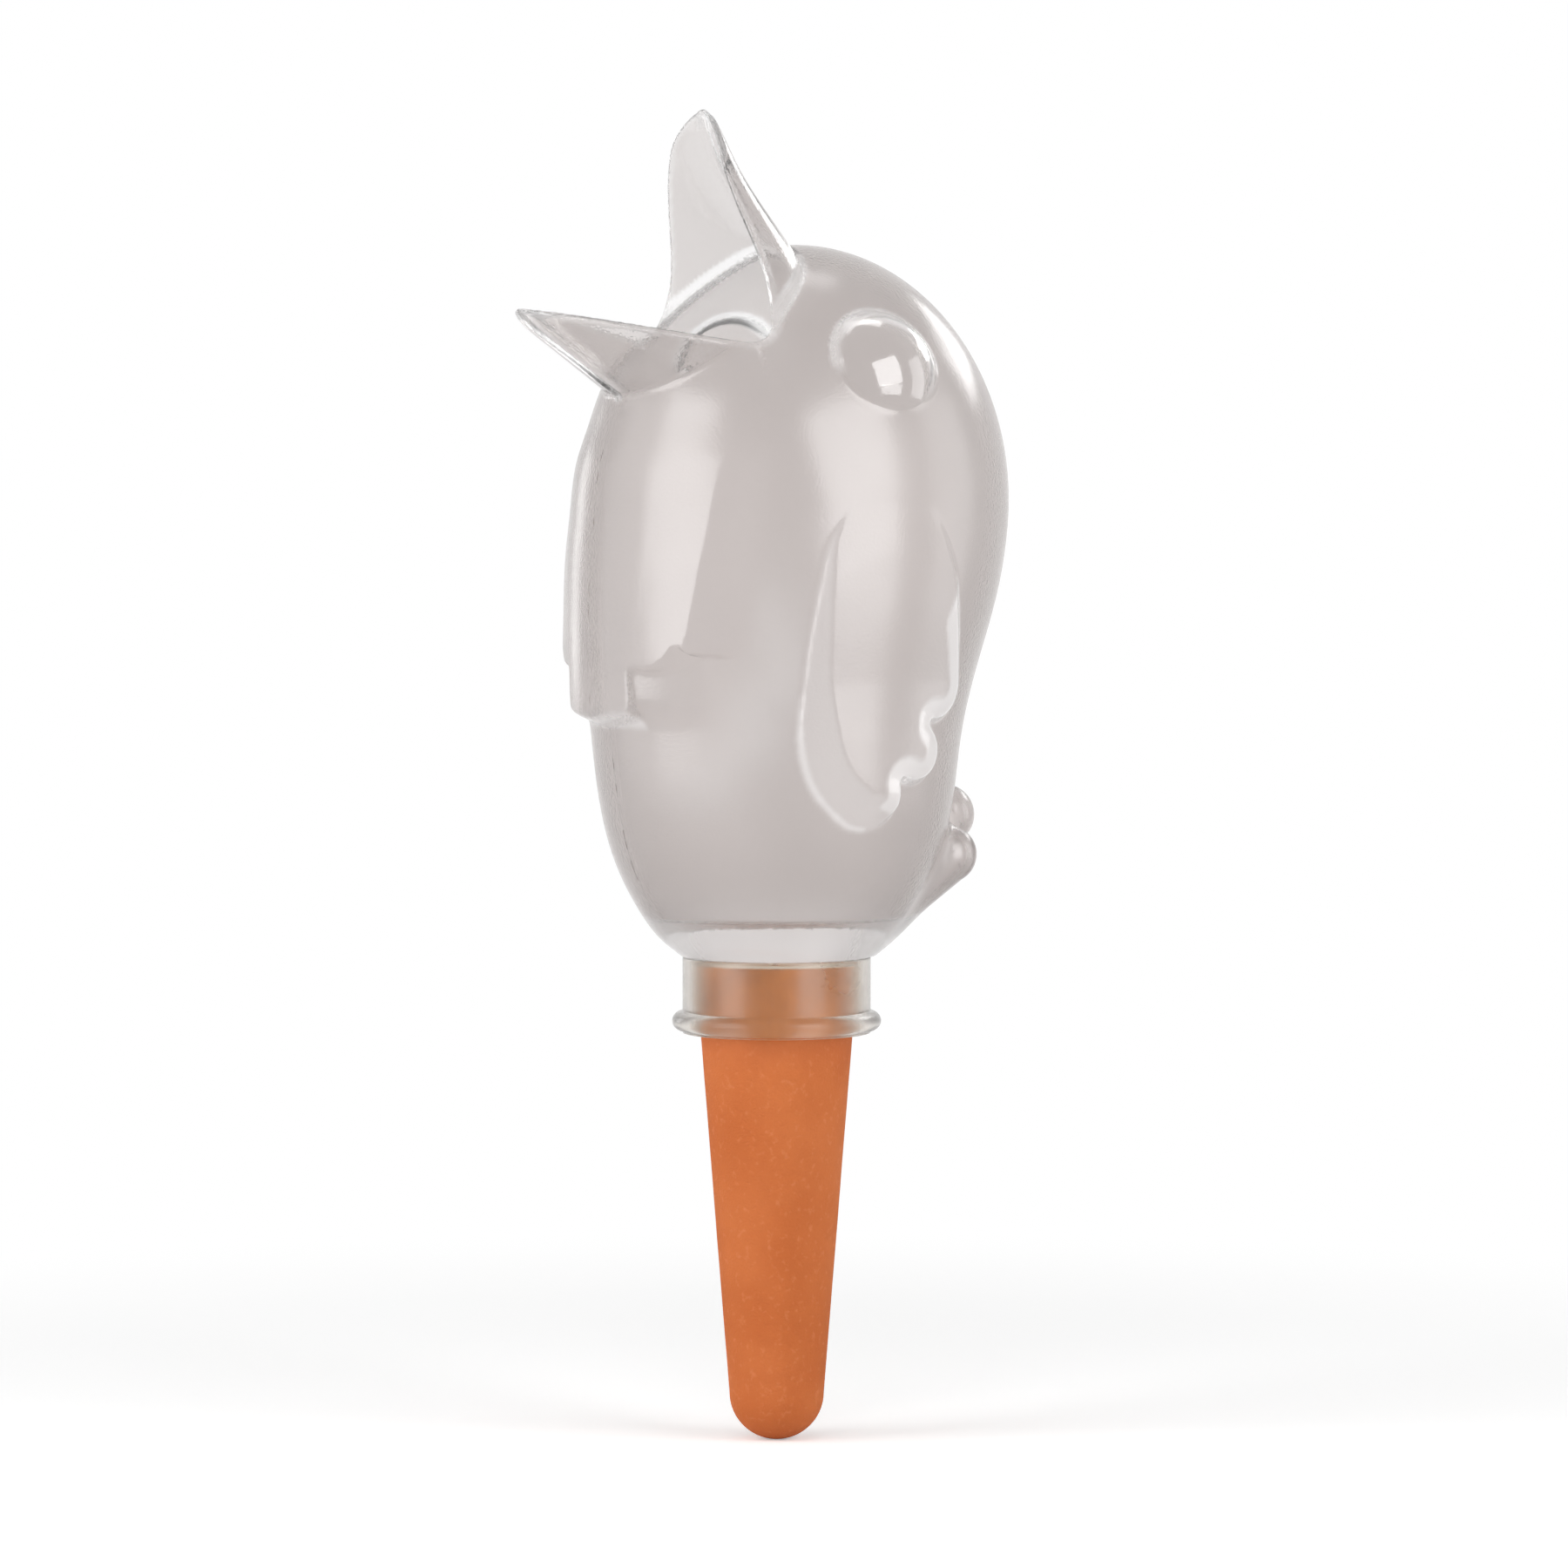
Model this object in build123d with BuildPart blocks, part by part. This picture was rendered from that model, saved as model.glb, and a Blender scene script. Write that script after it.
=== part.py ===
"""Self watering spike: a clear bird reservoir with an open beak, on a porous clay spike.

Millimetres, +Z up. The origin is on the spike's axis at the soil line, which is the underside of the
collar's bead. The bird looks towards -Y and is the same on both sides of the YZ plane. Its own sizes are
given in the bird's frame, whose height starts where its floor meets the collar.
"""
import os
from itertools import accumulate
from math import cos, radians, sin, sqrt

from build123d import *

# Clay spike: buried cone, straight head inside the collar, and the bore that holds water
SPIKE_DEPTH = 69.1
SPIKE_SOIL_RADIUS = 12.85
SPIKE_TIP_RADIUS = 8.0
SPIKE_WALL = 4.0
SPIKE_TIP_WALL = 6.8
PLUG_STEP_OUT = 0.45
PLUG_STEP_HEIGHT = 0.6
PLUG_HEIGHT = 11.9
PLUG_ROUND = 1.8

# Soft sleeve between the clay and the collar, with a cap over the clay's rim
RUNNING_CLEARANCE = 0.05
SLEEVE_WALL = 1.0
SLEEVE_CAP = 1.0
SLEEVE_RIM_SHOWN = 1.2
SLEEVE_LIP = 0.8

# Collar under the bird, with the bead round its lower end
COLLAR_WALL = 1.5
BEAD_RISE = 1.75
BEAD_HEIGHT = 3.7
BEAD_FLAT = 1.0

# Bird's wall, the thick floor over the collar, and the hole through that floor
WALL = 1.6
FLOOR_THICKNESS = 6.2
FLOOR_LEDGE = 1.5
FLOOR_HOLE_FLARE = 3.0

# Bird's body: rise above the section below, half width, half depth and set back of each level section
BODY_SECTIONS = [
    (2.7, 18.3, 19.5, 0.0),
    (4.4, 21.5, 23.1, 0.0),
    (7.4, 25.1, 27.1, 0.0),
    (8.6, 27.5, 29.8, 0.0),
    (14.9, 29.4, 31.9, 0.0),
    (11.7, 31.2, 33.9, 0.9),
    (11.4, 33.1, 35.9, 2.3),
    (7.5, 33.8, 36.7, 3.0),
]
SHOULDER_RISE = 8.5
SHOULDER_HALF_WIDTH = 34.0
SHOULDER_HALF_DEPTH = 36.9
SHOULDER_SET_BACK = 3.5
CROWN_RISE = 42.9

# Open beak: its corner in front of the axis and below the crown, and the slope of its two rims
MOUTH_CORNER_FRONT = 13.0
MOUTH_BELOW_CROWN = 16.9
MOUTH_CORNER_ROUND = 4.0
LOWER_RIM_SLOPE = 9.5
UPPER_RIM_SLOPE = 87.6
RIM_TRIM = 0.4

# Each half of the beak: distance back from its tip, half width and depth of each section
LOWER_BEAK_LENGTH = 36.9
UPPER_BEAK_LENGTH = 39.6
MANDIBLE_SECTIONS = [
    (0.0, 3.6, 1.9),
    (2.6, 6.6, 3.0),
    (7.6, 9.3, 4.8),
    (17.6, 13.0, 9.2),
    (27.6, 16.8, 14.0),
    (37.6, 21.3, 19.0),
    (44.0, 23.0, 21.5),
]

# Eyes: domes of balls whose centres are sunk into the sides of the head
EYE_RADIUS = 12.0
EYE_SINK = 9.15
EYE_SET_BACK = 4.8
EYE_BELOW_CROWN = 23.1

# Wings: outline in the side view, as (behind the axis, height), lifted towards the tip
WING_TOP = (2.0, 80.1)
WING_LEAD = [(-9.6, 71.1), (-13.0, 47.1), (-9.0, 25.7)]
WING_TIP = (-0.8, 20.7)
WING_LOBES = [
    ((5.2, 23.7), (7.0, 29.3)),
    ((17.2, 31.3), (15.6, 39.7)),
    ((24.2, 41.9), (24.0, 47.1)),
]
WING_TRAIL = [(17.6, 57.1), (11.0, 72.1)]
WING_HINGE_HEIGHT = 79.1
WING_LIFT = 2.7

# Bib: outline in the front view, as (beside the midplane, height), lifted towards its hem
BIB_TOP = 95.1
BIB_SIDE = [(23.6, 91.1), (24.0, 73.1), (21.6, 55.1)]
BIB_SIDE_LOBE = [(18.6, 50.1), (11.7, 48.5)]
BIB_TAB_SIDE = (11.4, 44.1)
BIB_TAB_END = (0.0, 39.7)
BIB_TAB_ROUND = 23.0
BIB_HINGE_FRONT = 27.0
BIB_HINGE_HEIGHT = 93.1
BIB_LIFT = 3.6

# Tail: round feathers that taper from the body, each as its root, its end and the radius at both
TAIL_FEATHERS = [
    ((0.0, 11.0, 8.1), (0.0, 33.0, 23.1), 8.9, 5.2),
    ((5.0, 11.5, 8.1), (8.6, 28.6, 16.9), 8.4, 4.9),
]

# Sizes that follow from those above, the spike's first
PLUG_RADIUS = SPIKE_SOIL_RADIUS + PLUG_STEP_OUT
PLUG_BORE_RADIUS = PLUG_RADIUS - SPIKE_WALL
SOIL_BORE_RADIUS = SPIKE_SOIL_RADIUS - SPIKE_WALL
CONE_END = SPIKE_TIP_RADIUS - SPIKE_DEPTH
BORE_END_RADIUS = SPIKE_TIP_RADIUS - SPIKE_WALL
BORE_END = SPIKE_TIP_WALL + BORE_END_RADIUS - SPIKE_DEPTH

# The sleeve's and the collar's
SLEEVE_BORE_RADIUS = PLUG_RADIUS + RUNNING_CLEARANCE
SLEEVE_RADIUS = SLEEVE_BORE_RADIUS + SLEEVE_WALL
SLEEVE_HOLE_RADIUS = PLUG_BORE_RADIUS + SLEEVE_RIM_SHOWN
COLLAR_TOP = PLUG_HEIGHT + SLEEVE_CAP
COLLAR_BORE_RADIUS = SLEEVE_RADIUS + RUNNING_CLEARANCE
COLLAR_RADIUS = COLLAR_BORE_RADIUS + COLLAR_WALL
BEAD_RADIUS = COLLAR_RADIUS + BEAD_RISE

# The bird's, in its own frame
FLOOR_HOLE_RADIUS = SLEEVE_HOLE_RADIUS + FLOOR_LEDGE
SECTION_HEIGHTS = list(accumulate(rise for rise, *sizes in BODY_SECTIONS))
SHOULDER_HEIGHT = SECTION_HEIGHTS[-1] + SHOULDER_RISE
CROWN_HEIGHT = SHOULDER_HEIGHT + CROWN_RISE
MOUTH_CORNER_HEIGHT = CROWN_HEIGHT - MOUTH_BELOW_CROWN
MOUTH_REACH = LOWER_BEAK_LENGTH + UPPER_BEAK_LENGTH
EYE_HEIGHT = CROWN_HEIGHT - EYE_BELOW_CROWN
EYE_LEVEL = 1 - EYE_BELOW_CROWN / CROWN_RISE
EYE_SIDE = SHOULDER_HALF_WIDTH * sqrt(1 - EYE_LEVEL**2) - EYE_SINK
EYE_CENTRE = (EYE_SIDE, EYE_SET_BACK, EYE_HEIGHT)
WING_INNER = SHOULDER_HALF_WIDTH / 4
WING_REACH = SHOULDER_HALF_WIDTH + WING_INNER
BIB_REACH = SHOULDER_HALF_DEPTH + LOWER_BEAK_LENGTH


def body_form(grow):
    """The plain bird without relief, its surface moved outwards by grow."""
    with BuildPart() as dome:
        Sphere(1, arc_size1=0, align=(Align.CENTER, Align.CENTER, Align.MIN))
        scale(by=(SHOULDER_HALF_WIDTH + grow, SHOULDER_HALF_DEPTH + grow, CROWN_RISE + grow))
    with BuildPart() as form:
        with BuildSketch(Plane.XY):
            Circle(COLLAR_RADIUS + grow)
        for height, (rise, half_width, half_depth, set_back) in zip(SECTION_HEIGHTS, BODY_SECTIONS):
            with BuildSketch(Plane.XY.offset(height)):
                with Locations((0, set_back)):
                    Ellipse(half_width + grow, half_depth + grow)
        with BuildSketch(Plane.XY.offset(SHOULDER_HEIGHT)):
            with Locations((0, SHOULDER_SET_BACK)):
                Ellipse(SHOULDER_HALF_WIDTH + grow, SHOULDER_HALF_DEPTH + grow)
        loft()
        with Locations((0, SHOULDER_SET_BACK, SHOULDER_HEIGHT)):
            add(dome.part)
    return form.part


def rim_plane(slope, side):
    """A plane at the mouth's corner whose normal runs along a rim, with the beak's depth along its -Y."""
    along = (0, -cos(radians(slope)), sin(radians(slope)))
    return Plane((0, -MOUTH_CORNER_FRONT, MOUTH_CORNER_HEIGHT), x_dir=(side, 0, 0), z_dir=along)


def mandible_form(base, length, sections, grow):
    """One half of the beak as a solid scoop, its surface moved outwards by grow."""
    past_rim = RIM_TRIM + WALL + grow
    with BuildPart() as scoop:
        for from_tip, half_width, depth in sections:
            with BuildSketch(base.offset(length - from_tip)):
                with BuildLine():
                    EllipticalCenterArc((0, 0), half_width + grow, depth + grow, 180, arc_size=180)
                    Polyline(
                        (half_width + grow, 0),
                        (half_width + grow, past_rim),
                        (-half_width - grow, past_rim),
                        (-half_width - grow, 0),
                    )
                make_face()
        loft()
    return scoop.part


def feather_form(root, end, root_radius, end_radius, grow):
    """A tapered tail feather with a round end, its surface moved outwards by grow."""
    along = Vector(*end) - Vector(*root)
    with BuildPart() as rod:
        with BuildSketch(Plane(root, z_dir=along)):
            Circle(root_radius + grow)
        with BuildSketch(Plane(end, z_dir=along)):
            Circle(end_radius + grow)
        loft()
        with Locations(end):
            Sphere(end_radius + grow)
    return rod.part


body = body_form(0)
body_inside = body_form(-WALL)
beak = [
    (rim_plane(LOWER_RIM_SLOPE, 1), LOWER_BEAK_LENGTH),
    (rim_plane(UPPER_RIM_SLOPE, -1), UPPER_BEAK_LENGTH),
]
mandibles = [mandible_form(rim, length, MANDIBLE_SECTIONS, 0) for rim, length in beak]
mandible_insides = [mandible_form(rim, length, MANDIBLE_SECTIONS[1:], -WALL) for rim, length in beak]
feathers = [feather_form(*sizes, 0) for sizes in TAIL_FEATHERS]
feather_insides = [feather_form(*sizes, -WALL) for sizes in TAIL_FEATHERS]

with BuildPart() as mouth_gape:
    with BuildSketch(Plane.YZ.offset(-MOUTH_REACH)):
        with BuildLine():
            Polyline(
                (
                    -MOUTH_CORNER_FRONT - MOUTH_REACH * cos(radians(LOWER_RIM_SLOPE)),
                    MOUTH_CORNER_HEIGHT + MOUTH_REACH * sin(radians(LOWER_RIM_SLOPE)),
                ),
                (-MOUTH_CORNER_FRONT, MOUTH_CORNER_HEIGHT),
                (
                    -MOUTH_CORNER_FRONT - MOUTH_REACH * cos(radians(UPPER_RIM_SLOPE)),
                    MOUTH_CORNER_HEIGHT + MOUTH_REACH * sin(radians(UPPER_RIM_SLOPE)),
                ),
                close=True,
            )
        make_face()
    extrude(amount=2 * MOUTH_REACH)
    corner = mouth_gape.edges().filter_by(Axis.X).sort_by(Axis.Z)[0]
    fillet(corner, MOUTH_CORNER_ROUND)

with BuildPart() as wing:
    with BuildSketch(Plane.YZ.offset(WING_INNER)):
        with BuildLine():
            Spline(WING_TOP, *WING_LEAD, WING_TIP)
            start = WING_TIP
            for middle, end in WING_LOBES:
                ThreePointArc(start, middle, end)
                start = end
            Spline(start, *WING_TRAIL, WING_TOP)
        make_face()
    extrude(amount=WING_REACH)
    hinge = Axis((0, 0, WING_HINGE_HEIGHT), (0, 1, 0))
    add(body.rotate(hinge, -WING_LIFT), mode=Mode.INTERSECT)

with BuildPart() as bib:
    with BuildSketch(Plane.XZ):
        with BuildLine():
            Line((0, BIB_TOP), (BIB_SIDE[0][0], BIB_TOP))
            Line((BIB_SIDE[0][0], BIB_TOP), BIB_SIDE[0])
            Spline(*BIB_SIDE)
            ThreePointArc(BIB_SIDE[-1], *BIB_SIDE_LOBE)
            Line(BIB_SIDE_LOBE[1], BIB_TAB_SIDE)
            RadiusArc(BIB_TAB_SIDE, BIB_TAB_END, BIB_TAB_ROUND)
            Line(BIB_TAB_END, (0, BIB_TOP))
        make_face()
        mirror(about=Plane.YZ)
    extrude(amount=BIB_REACH)
    hinge = Axis((0, -BIB_HINGE_FRONT, BIB_HINGE_HEIGHT), (1, 0, 0))
    add(body.rotate(hinge, -BIB_LIFT), mode=Mode.INTERSECT)

with BuildPart() as cavity:
    add(body_inside)
    add(mandible_insides)
    add(feather_insides)
    with Locations(EYE_CENTRE):
        Sphere(EYE_RADIUS - WALL)
    split(bisect_by=Plane.XY.offset(FLOOR_THICKNESS), keep=Keep.TOP)
    Cone(
        FLOOR_HOLE_RADIUS,
        FLOOR_HOLE_RADIUS + FLOOR_HOLE_FLARE,
        FLOOR_THICKNESS,
        align=(Align.CENTER, Align.CENTER, Align.MIN),
    )

with BuildPart() as bird_half:
    add(body)
    add(mandibles)
    add(wing.part)
    add(bib.part)
    add(feathers)
    with Locations(EYE_CENTRE):
        Sphere(EYE_RADIUS)
    add(mouth_gape.part, mode=Mode.SUBTRACT)
    add(cavity.part, mode=Mode.SUBTRACT)
    split(bisect_by=Plane.YZ, keep=Keep.TOP)
    split(bisect_by=Plane.XY, keep=Keep.TOP)

with BuildPart() as left_half_shell:
    with Locations((0, 0, COLLAR_TOP)):
        add(bird_half.part)

with BuildPart() as right_half_shell:
    add(mirror(left_half_shell.part, about=Plane.YZ, mode=Mode.PRIVATE))

with BuildPart() as neck_collar:
    with BuildSketch(Plane.XZ):
        with BuildLine():
            Polyline(
                (COLLAR_RADIUS, BEAD_HEIGHT),
                (COLLAR_RADIUS, COLLAR_TOP),
                (COLLAR_BORE_RADIUS, COLLAR_TOP),
                (COLLAR_BORE_RADIUS, 0),
                (COLLAR_RADIUS + BEAD_FLAT, 0),
            )
            ThreePointArc(
                (COLLAR_RADIUS + BEAD_FLAT, 0),
                (BEAD_RADIUS, BEAD_HEIGHT / 2),
                (COLLAR_RADIUS, BEAD_HEIGHT),
            )
        make_face()
    revolve(axis=Axis.Z)

with BuildPart() as seal_sleeve:
    with BuildSketch(Plane.XZ):
        with BuildLine():
            Polyline(
                (SLEEVE_BORE_RADIUS, -SLEEVE_LIP),
                (SLEEVE_RADIUS, -SLEEVE_LIP),
                (SLEEVE_RADIUS, COLLAR_TOP),
                (SLEEVE_HOLE_RADIUS, COLLAR_TOP),
                (SLEEVE_HOLE_RADIUS, PLUG_HEIGHT),
                (SLEEVE_BORE_RADIUS, PLUG_HEIGHT),
                close=True,
            )
        make_face()
    revolve(axis=Axis.Z)

with BuildPart() as clay_spike:
    with BuildSketch(Plane.XZ):
        with BuildLine():
            RadiusArc((0, -SPIKE_DEPTH), (SPIKE_TIP_RADIUS, CONE_END), -SPIKE_TIP_RADIUS)
            Polyline(
                (SPIKE_TIP_RADIUS, CONE_END),
                (SPIKE_SOIL_RADIUS, 0),
                (PLUG_RADIUS, PLUG_STEP_HEIGHT),
                (PLUG_RADIUS, PLUG_HEIGHT),
                (PLUG_BORE_RADIUS, PLUG_HEIGHT),
                (SOIL_BORE_RADIUS, 0),
                (BORE_END_RADIUS, BORE_END),
            )
            RadiusArc((BORE_END_RADIUS, BORE_END), (0, BORE_END - BORE_END_RADIUS), BORE_END_RADIUS)
            Line((0, BORE_END - BORE_END_RADIUS), (0, -SPIKE_DEPTH))
        make_face()
    revolve(axis=Axis.Z)
    shoulder = clay_spike.edges().filter_by(GeomType.CIRCLE).group_by(Axis.Z)[-1].sort_by(SortBy.RADIUS)[-1]
    fillet(shoulder, PLUG_ROUND)

os.makedirs("parts", exist_ok=True)

left_half_shell.part.label = "left_half_shell"
export_step(left_half_shell.part, "parts/left_half_shell.step")
right_half_shell.part.label = "right_half_shell"
export_step(right_half_shell.part, "parts/right_half_shell.step")
neck_collar.part.label = "neck_collar"
export_step(neck_collar.part, "parts/neck_collar.step")
seal_sleeve.part.label = "seal_sleeve"
export_step(seal_sleeve.part, "parts/seal_sleeve.step")
clay_spike.part.label = "clay_spike"
export_step(clay_spike.part, "parts/clay_spike.step")
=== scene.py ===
"""Self watering spike: a clear bird with an open beak on a clay spike, dressed for rendering.

The frame is in metres. The sizes of the pieces below are in millimetres in the same frame: +Z up from the
soil line, -Y the way the bird looks, +X its left side.
"""
import math

import bmesh
import bpy
import numpy as np
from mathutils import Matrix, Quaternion, Vector


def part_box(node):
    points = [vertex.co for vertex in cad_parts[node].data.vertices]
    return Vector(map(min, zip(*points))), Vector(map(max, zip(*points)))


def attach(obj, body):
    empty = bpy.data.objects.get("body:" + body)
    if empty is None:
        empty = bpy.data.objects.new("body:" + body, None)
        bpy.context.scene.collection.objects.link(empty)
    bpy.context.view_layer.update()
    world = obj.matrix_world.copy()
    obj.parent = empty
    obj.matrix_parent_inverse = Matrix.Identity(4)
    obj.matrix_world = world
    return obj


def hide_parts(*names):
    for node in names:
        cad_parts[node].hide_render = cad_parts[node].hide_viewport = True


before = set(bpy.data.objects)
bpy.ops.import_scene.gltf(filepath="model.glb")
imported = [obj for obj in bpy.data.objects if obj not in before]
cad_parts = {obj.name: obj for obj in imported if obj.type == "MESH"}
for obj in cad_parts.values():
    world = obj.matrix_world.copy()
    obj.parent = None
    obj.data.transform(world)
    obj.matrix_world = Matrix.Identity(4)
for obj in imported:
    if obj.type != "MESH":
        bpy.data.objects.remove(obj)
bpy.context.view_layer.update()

MM = 0.001


def node_box(node):
    """Lowest and highest corner of a node of the frame, in millimetres."""
    low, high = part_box(node)
    return Vector(low) / MM, Vector(high) / MM


COLLAR_LOW, COLLAR_HIGH = node_box("neck_collar")
SLEEVE_LOW, SLEEVE_HIGH = node_box("seal_sleeve")
SPIKE_LOW, SPIKE_HIGH = node_box("clay_spike")
NECK = COLLAR_HIGH.z

# Clear pieces that touch stand this far apart, so that light passes both faces
FACE_GAP = 0.03

# Plain body: height of each level section, with its half width, half depth and set back
BODY_HEIGHTS = [12.9, 15.6, 20.0, 27.4, 36.0, 50.9, 62.6, 74.0, 81.5, 90.0]
BODY_HALF_WIDTHS = [15.9, 18.3, 21.5, 25.1, 27.5, 29.4, 31.2, 33.1, 33.8, 34.0]
BODY_HALF_DEPTHS = [15.9, 19.5, 23.1, 27.1, 29.8, 31.9, 33.9, 35.9, 36.7, 36.9]
BODY_SET_BACKS = [0.0, 0.0, 0.0, 0.0, 0.0, 0.0, 0.9, 2.3, 3.0, 3.5]
SHOULDER = BODY_HEIGHTS[-1]
CROWN_RISE = 42.9

# Wall, thick floor over the collar and the hole through it
WALL = 1.6
FLOOR_TOP = NECK + 7.0
FLOOR_ROUND = 0.5
FLOOR_HOLE = 12.0
FLOOR_FLARE = 3.0

# Open beak: its corner, the slope of both rims, and how each half widens and deepens from its tip
MOUTH_FRONT = 13.0
MOUTH_HEIGHT = 116.0
MOUTH_ROUND = 4.0
LOWER_SLOPE = math.radians(9.5)
UPPER_SLOPE = math.radians(87.6)
LOWER_LENGTH = 36.9
UPPER_LENGTH = 39.6
BEAK_WIDTH = 6.45
BEAK_WIDEN = 0.37
BEAK_TIP_WIDE = 7.7
BEAK_DEPTH = 1.2
BEAK_DEEPEN = 0.472
BEAK_TIP_DEEP = 5.0
BEAK_ROOT = 9.0
BEAK_TRIM = 2.4
RIM_ROUND = 1.3
BEAK_MELT = 0.9
BEAK_CORE_MELT = 1.2
KEEL_RISE = 0.4
KEEL_HALF_WIDTH = 1.2

# Sway of the upper rim: distance along it from the mouth's corner, and how far it lies back
SWAY_ALONG = [0.0, 4.0, 9.0, 17.0, 24.6, 32.0, 36.4, 39.6]
SWAY_BACK = [0.0, 1.2, 2.0, 1.0, -0.7, -1.5, -0.9, 0.0]

# Eyes
EYE_CENTRE = (21.0, 4.8, 109.8)
EYE_RADIUS = 12.0
EYE_MELT = 0.5
EYE_CORE_MELT = 1.0

# Wings: outline from the side as (behind the axis, height)
WING_TOP = (2.0, 96.0)
WING_LEAD = [
    (-7.1, 86.2), (-9.8, 77.4), (-11.3, 65.6), (-11.85, 52.4), (-10.9, 46.2),
    (-8.7, 41.6), (-5.6, 38.2), (-2.6, 36.0),
]
WING_TIP = (0.6, 35.3)
WING_LOBES = [
    ((5.4, 37.2), (7.0, 43.5)),
    ((15.2, 46.8), (13.3, 53.1)),
    ((19.8, 56.6), (20.2, 61.5)),
]
WING_TRAIL = [(18.6, 70.0), (16.0, 80.0), (10.5, 90.0)]
WING_BEVEL_HEIGHTS = [33.0, 38.0, 42.0, 51.0, 60.0, 80.0, 90.0]
WING_BEVEL_WIDTHS = [5.4, 6.3, 6.5, 5.6, 3.6, 1.2, 0.0]
WING_BEVEL_SLOPE = math.tan(math.radians(28.0))
WING_LIP = 0.4
WING_STEP = 1.2
WING_BAND = 4.3
WING_BAND_DROP = 0.8
WING_BAND_FROM = 78.0
WING_BAND_FULL = 69.0
WING_BAND_END = 37.0
WING_BAND_FADE = 3.0
WING_LINE = 0.8
WING_LINE_FROM = 62.0
WING_LINE_FADE = 14.0
WING_VIEW = ((-20.0, 28.0), (30.0, 102.0))

# Bib: the ridge along its side and its outline, from the front as (beside the midplane, height)
BIB_TOP = 108.0
BIB_RIDGE = [(24.0, 98.0), (23.7, 89.0), (23.1, 82.2), (22.2, 75.4), (21.0, 68.5), (19.6, 64.8)]
BIB_LOBE = [(17.6, 62.5), (11.5, 61.2)]
BIB_TAB = [(11.5, 56.0), (9.6, 53.6), (0.0, 52.3)]
BIB_RISE = 3.4
BIB_RISE_FROM = 106.0
BIB_RISE_CURVE = 0.8
BIB_RISE_START = 5.0
BIB_BORDER = 4.5
BIB_LIFT = 0.7
BIB_LIFT_REACH = 9.0
BIB_LIFT_CURVE = 1.5
BIB_LIFT_START = 3.0
BIB_HEM = 1.4
BIB_FOOT = 1.3 * BIB_HEM
BIB_FADE = 6.0
BIB_VIEW = ((-32.0, 46.0), (32.0, 112.0))
SKIRT_RISE = 2.2
SKIRT_WIDTH = 8.0
SKIRT_HEIGHT = 5.0

# Tail: feathers as root, end and the radius at both
TAIL_FEATHERS = [
    ((0.0, 11.0, 21.0), (0.0, 33.0, 36.0), 8.9, 5.2),
    ((5.0, 11.5, 21.0), (8.6, 28.6, 29.8), 8.4, 4.9),
]
TAIL_MELT = 2.6
FEATHER_MELT = 0.8

# Finish: how clear, and so how light, the floor, the wing's bevel, the bib's hem and the bright lines of the
# beak and eyes are. On the floor, the hem and the beak's keel this lightness is painted light from below, on
# the bevel it is painted light, and on the beak it is partly its thin wall and partly a painted highlight
FLOOR_PAINTED_LIGHT = 0.55
FLOOR_FADE = 0.8
BEVEL_PAINTED_LIGHT = 0.3
HEM_PAINTED_HIGHLIGHT = 0.7
BEAK_CLEAR_AND_HIGHLIGHT = 0.1
KEEL_PAINTED_HIGHLIGHT = 0.8
KEEL_FADE = 0.4
KEEL_FROM = 2.0
KEEL_SKIN = 1.0
POLISH_FADE = 1.5
POLISH_LEAD = 0.3
OUTER_FADE = 0.4

# Bright lines, made see-through and on the creases clearer, as painted highlights: the beak's rims and tips,
# where the moulding is also thin, the crease at its root and the crease over each eye
EDGE_SEE_THROUGH = 0.4
EDGE_FADE = 0.6
RIM_REACH = 1.5
TIP_REACH = 2.5
TIP_FADE = 1.5
CREASE_PAINTED_HIGHLIGHT = 0.7
CREASE_SEE_THROUGH = 0.75
CREASE_REACH = 1.1
CREASE_FADE = 0.5
CREASE_START = 3.0
EYE_CREASE_IN = 0.6
EYE_CREASE_IN_FADE = 0.3
EYE_CREASE_OUT = 0.9
EYE_CREASE_OUT_FADE = 0.8
EYE_CREASE_WIDER = 0.8
EYE_CREASE_WIDER_FROM = 6.0
EYE_CREASE_WIDER_OVER = 4.0
EYE_CREASE_FROM = 1.0
EYE_CREASE_FROM_FADE = 3.0

# Fineness of the bird's mesh and of the relief on it
GRID = 0.61
GRID_LOW = (-1.2, -52.0, 12.0)
GRID_HIGH = (36.0, 42.0, 157.2)
PROBE = 0.04
LEAST_SLOPE = 0.3
SETTLE_ROUNDS = 4
SETTLE_STEP = 0.4
RELIEF_STEP = 0.25
RELIEF_SOFT = 0.3


def smooth_line(stations, values):
    """An even cubic through the values, free at its first station and level at its last."""
    at = np.array(stations, float)
    level = np.array(values, float)
    span = np.diff(at)
    rise = np.diff(level) / span
    count = len(at)
    rows = np.eye(count)
    known = np.zeros(count)
    for i in range(1, count - 1):
        rows[i, i - 1 : i + 2] = span[i - 1], 2 * (span[i - 1] + span[i]), span[i]
        known[i] = 6 * (rise[i] - rise[i - 1])
    rows[-1, -2:] = span[-1], 2 * span[-1]
    known[-1] = -6 * rise[-1]
    bend = np.linalg.solve(rows, known)

    def value(place):
        place = np.clip(place, at[0], at[-1])
        i = np.clip(np.searchsorted(at, place) - 1, 0, count - 2)
        b = (place - at[i]) / span[i]
        a = 1 - b
        curve = (a**3 - a) * bend[i] + (b**3 - b) * bend[i + 1]
        return a * level[i] + b * level[i + 1] + curve * span[i] ** 2 / 6

    return value


body_half_width = smooth_line(BODY_HEIGHTS, BODY_HALF_WIDTHS)
body_half_depth = smooth_line(BODY_HEIGHTS, BODY_HALF_DEPTHS)
body_set_back = smooth_line(BODY_HEIGHTS, BODY_SET_BACKS)
rim_sway = smooth_line(SWAY_ALONG, SWAY_BACK)


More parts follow.
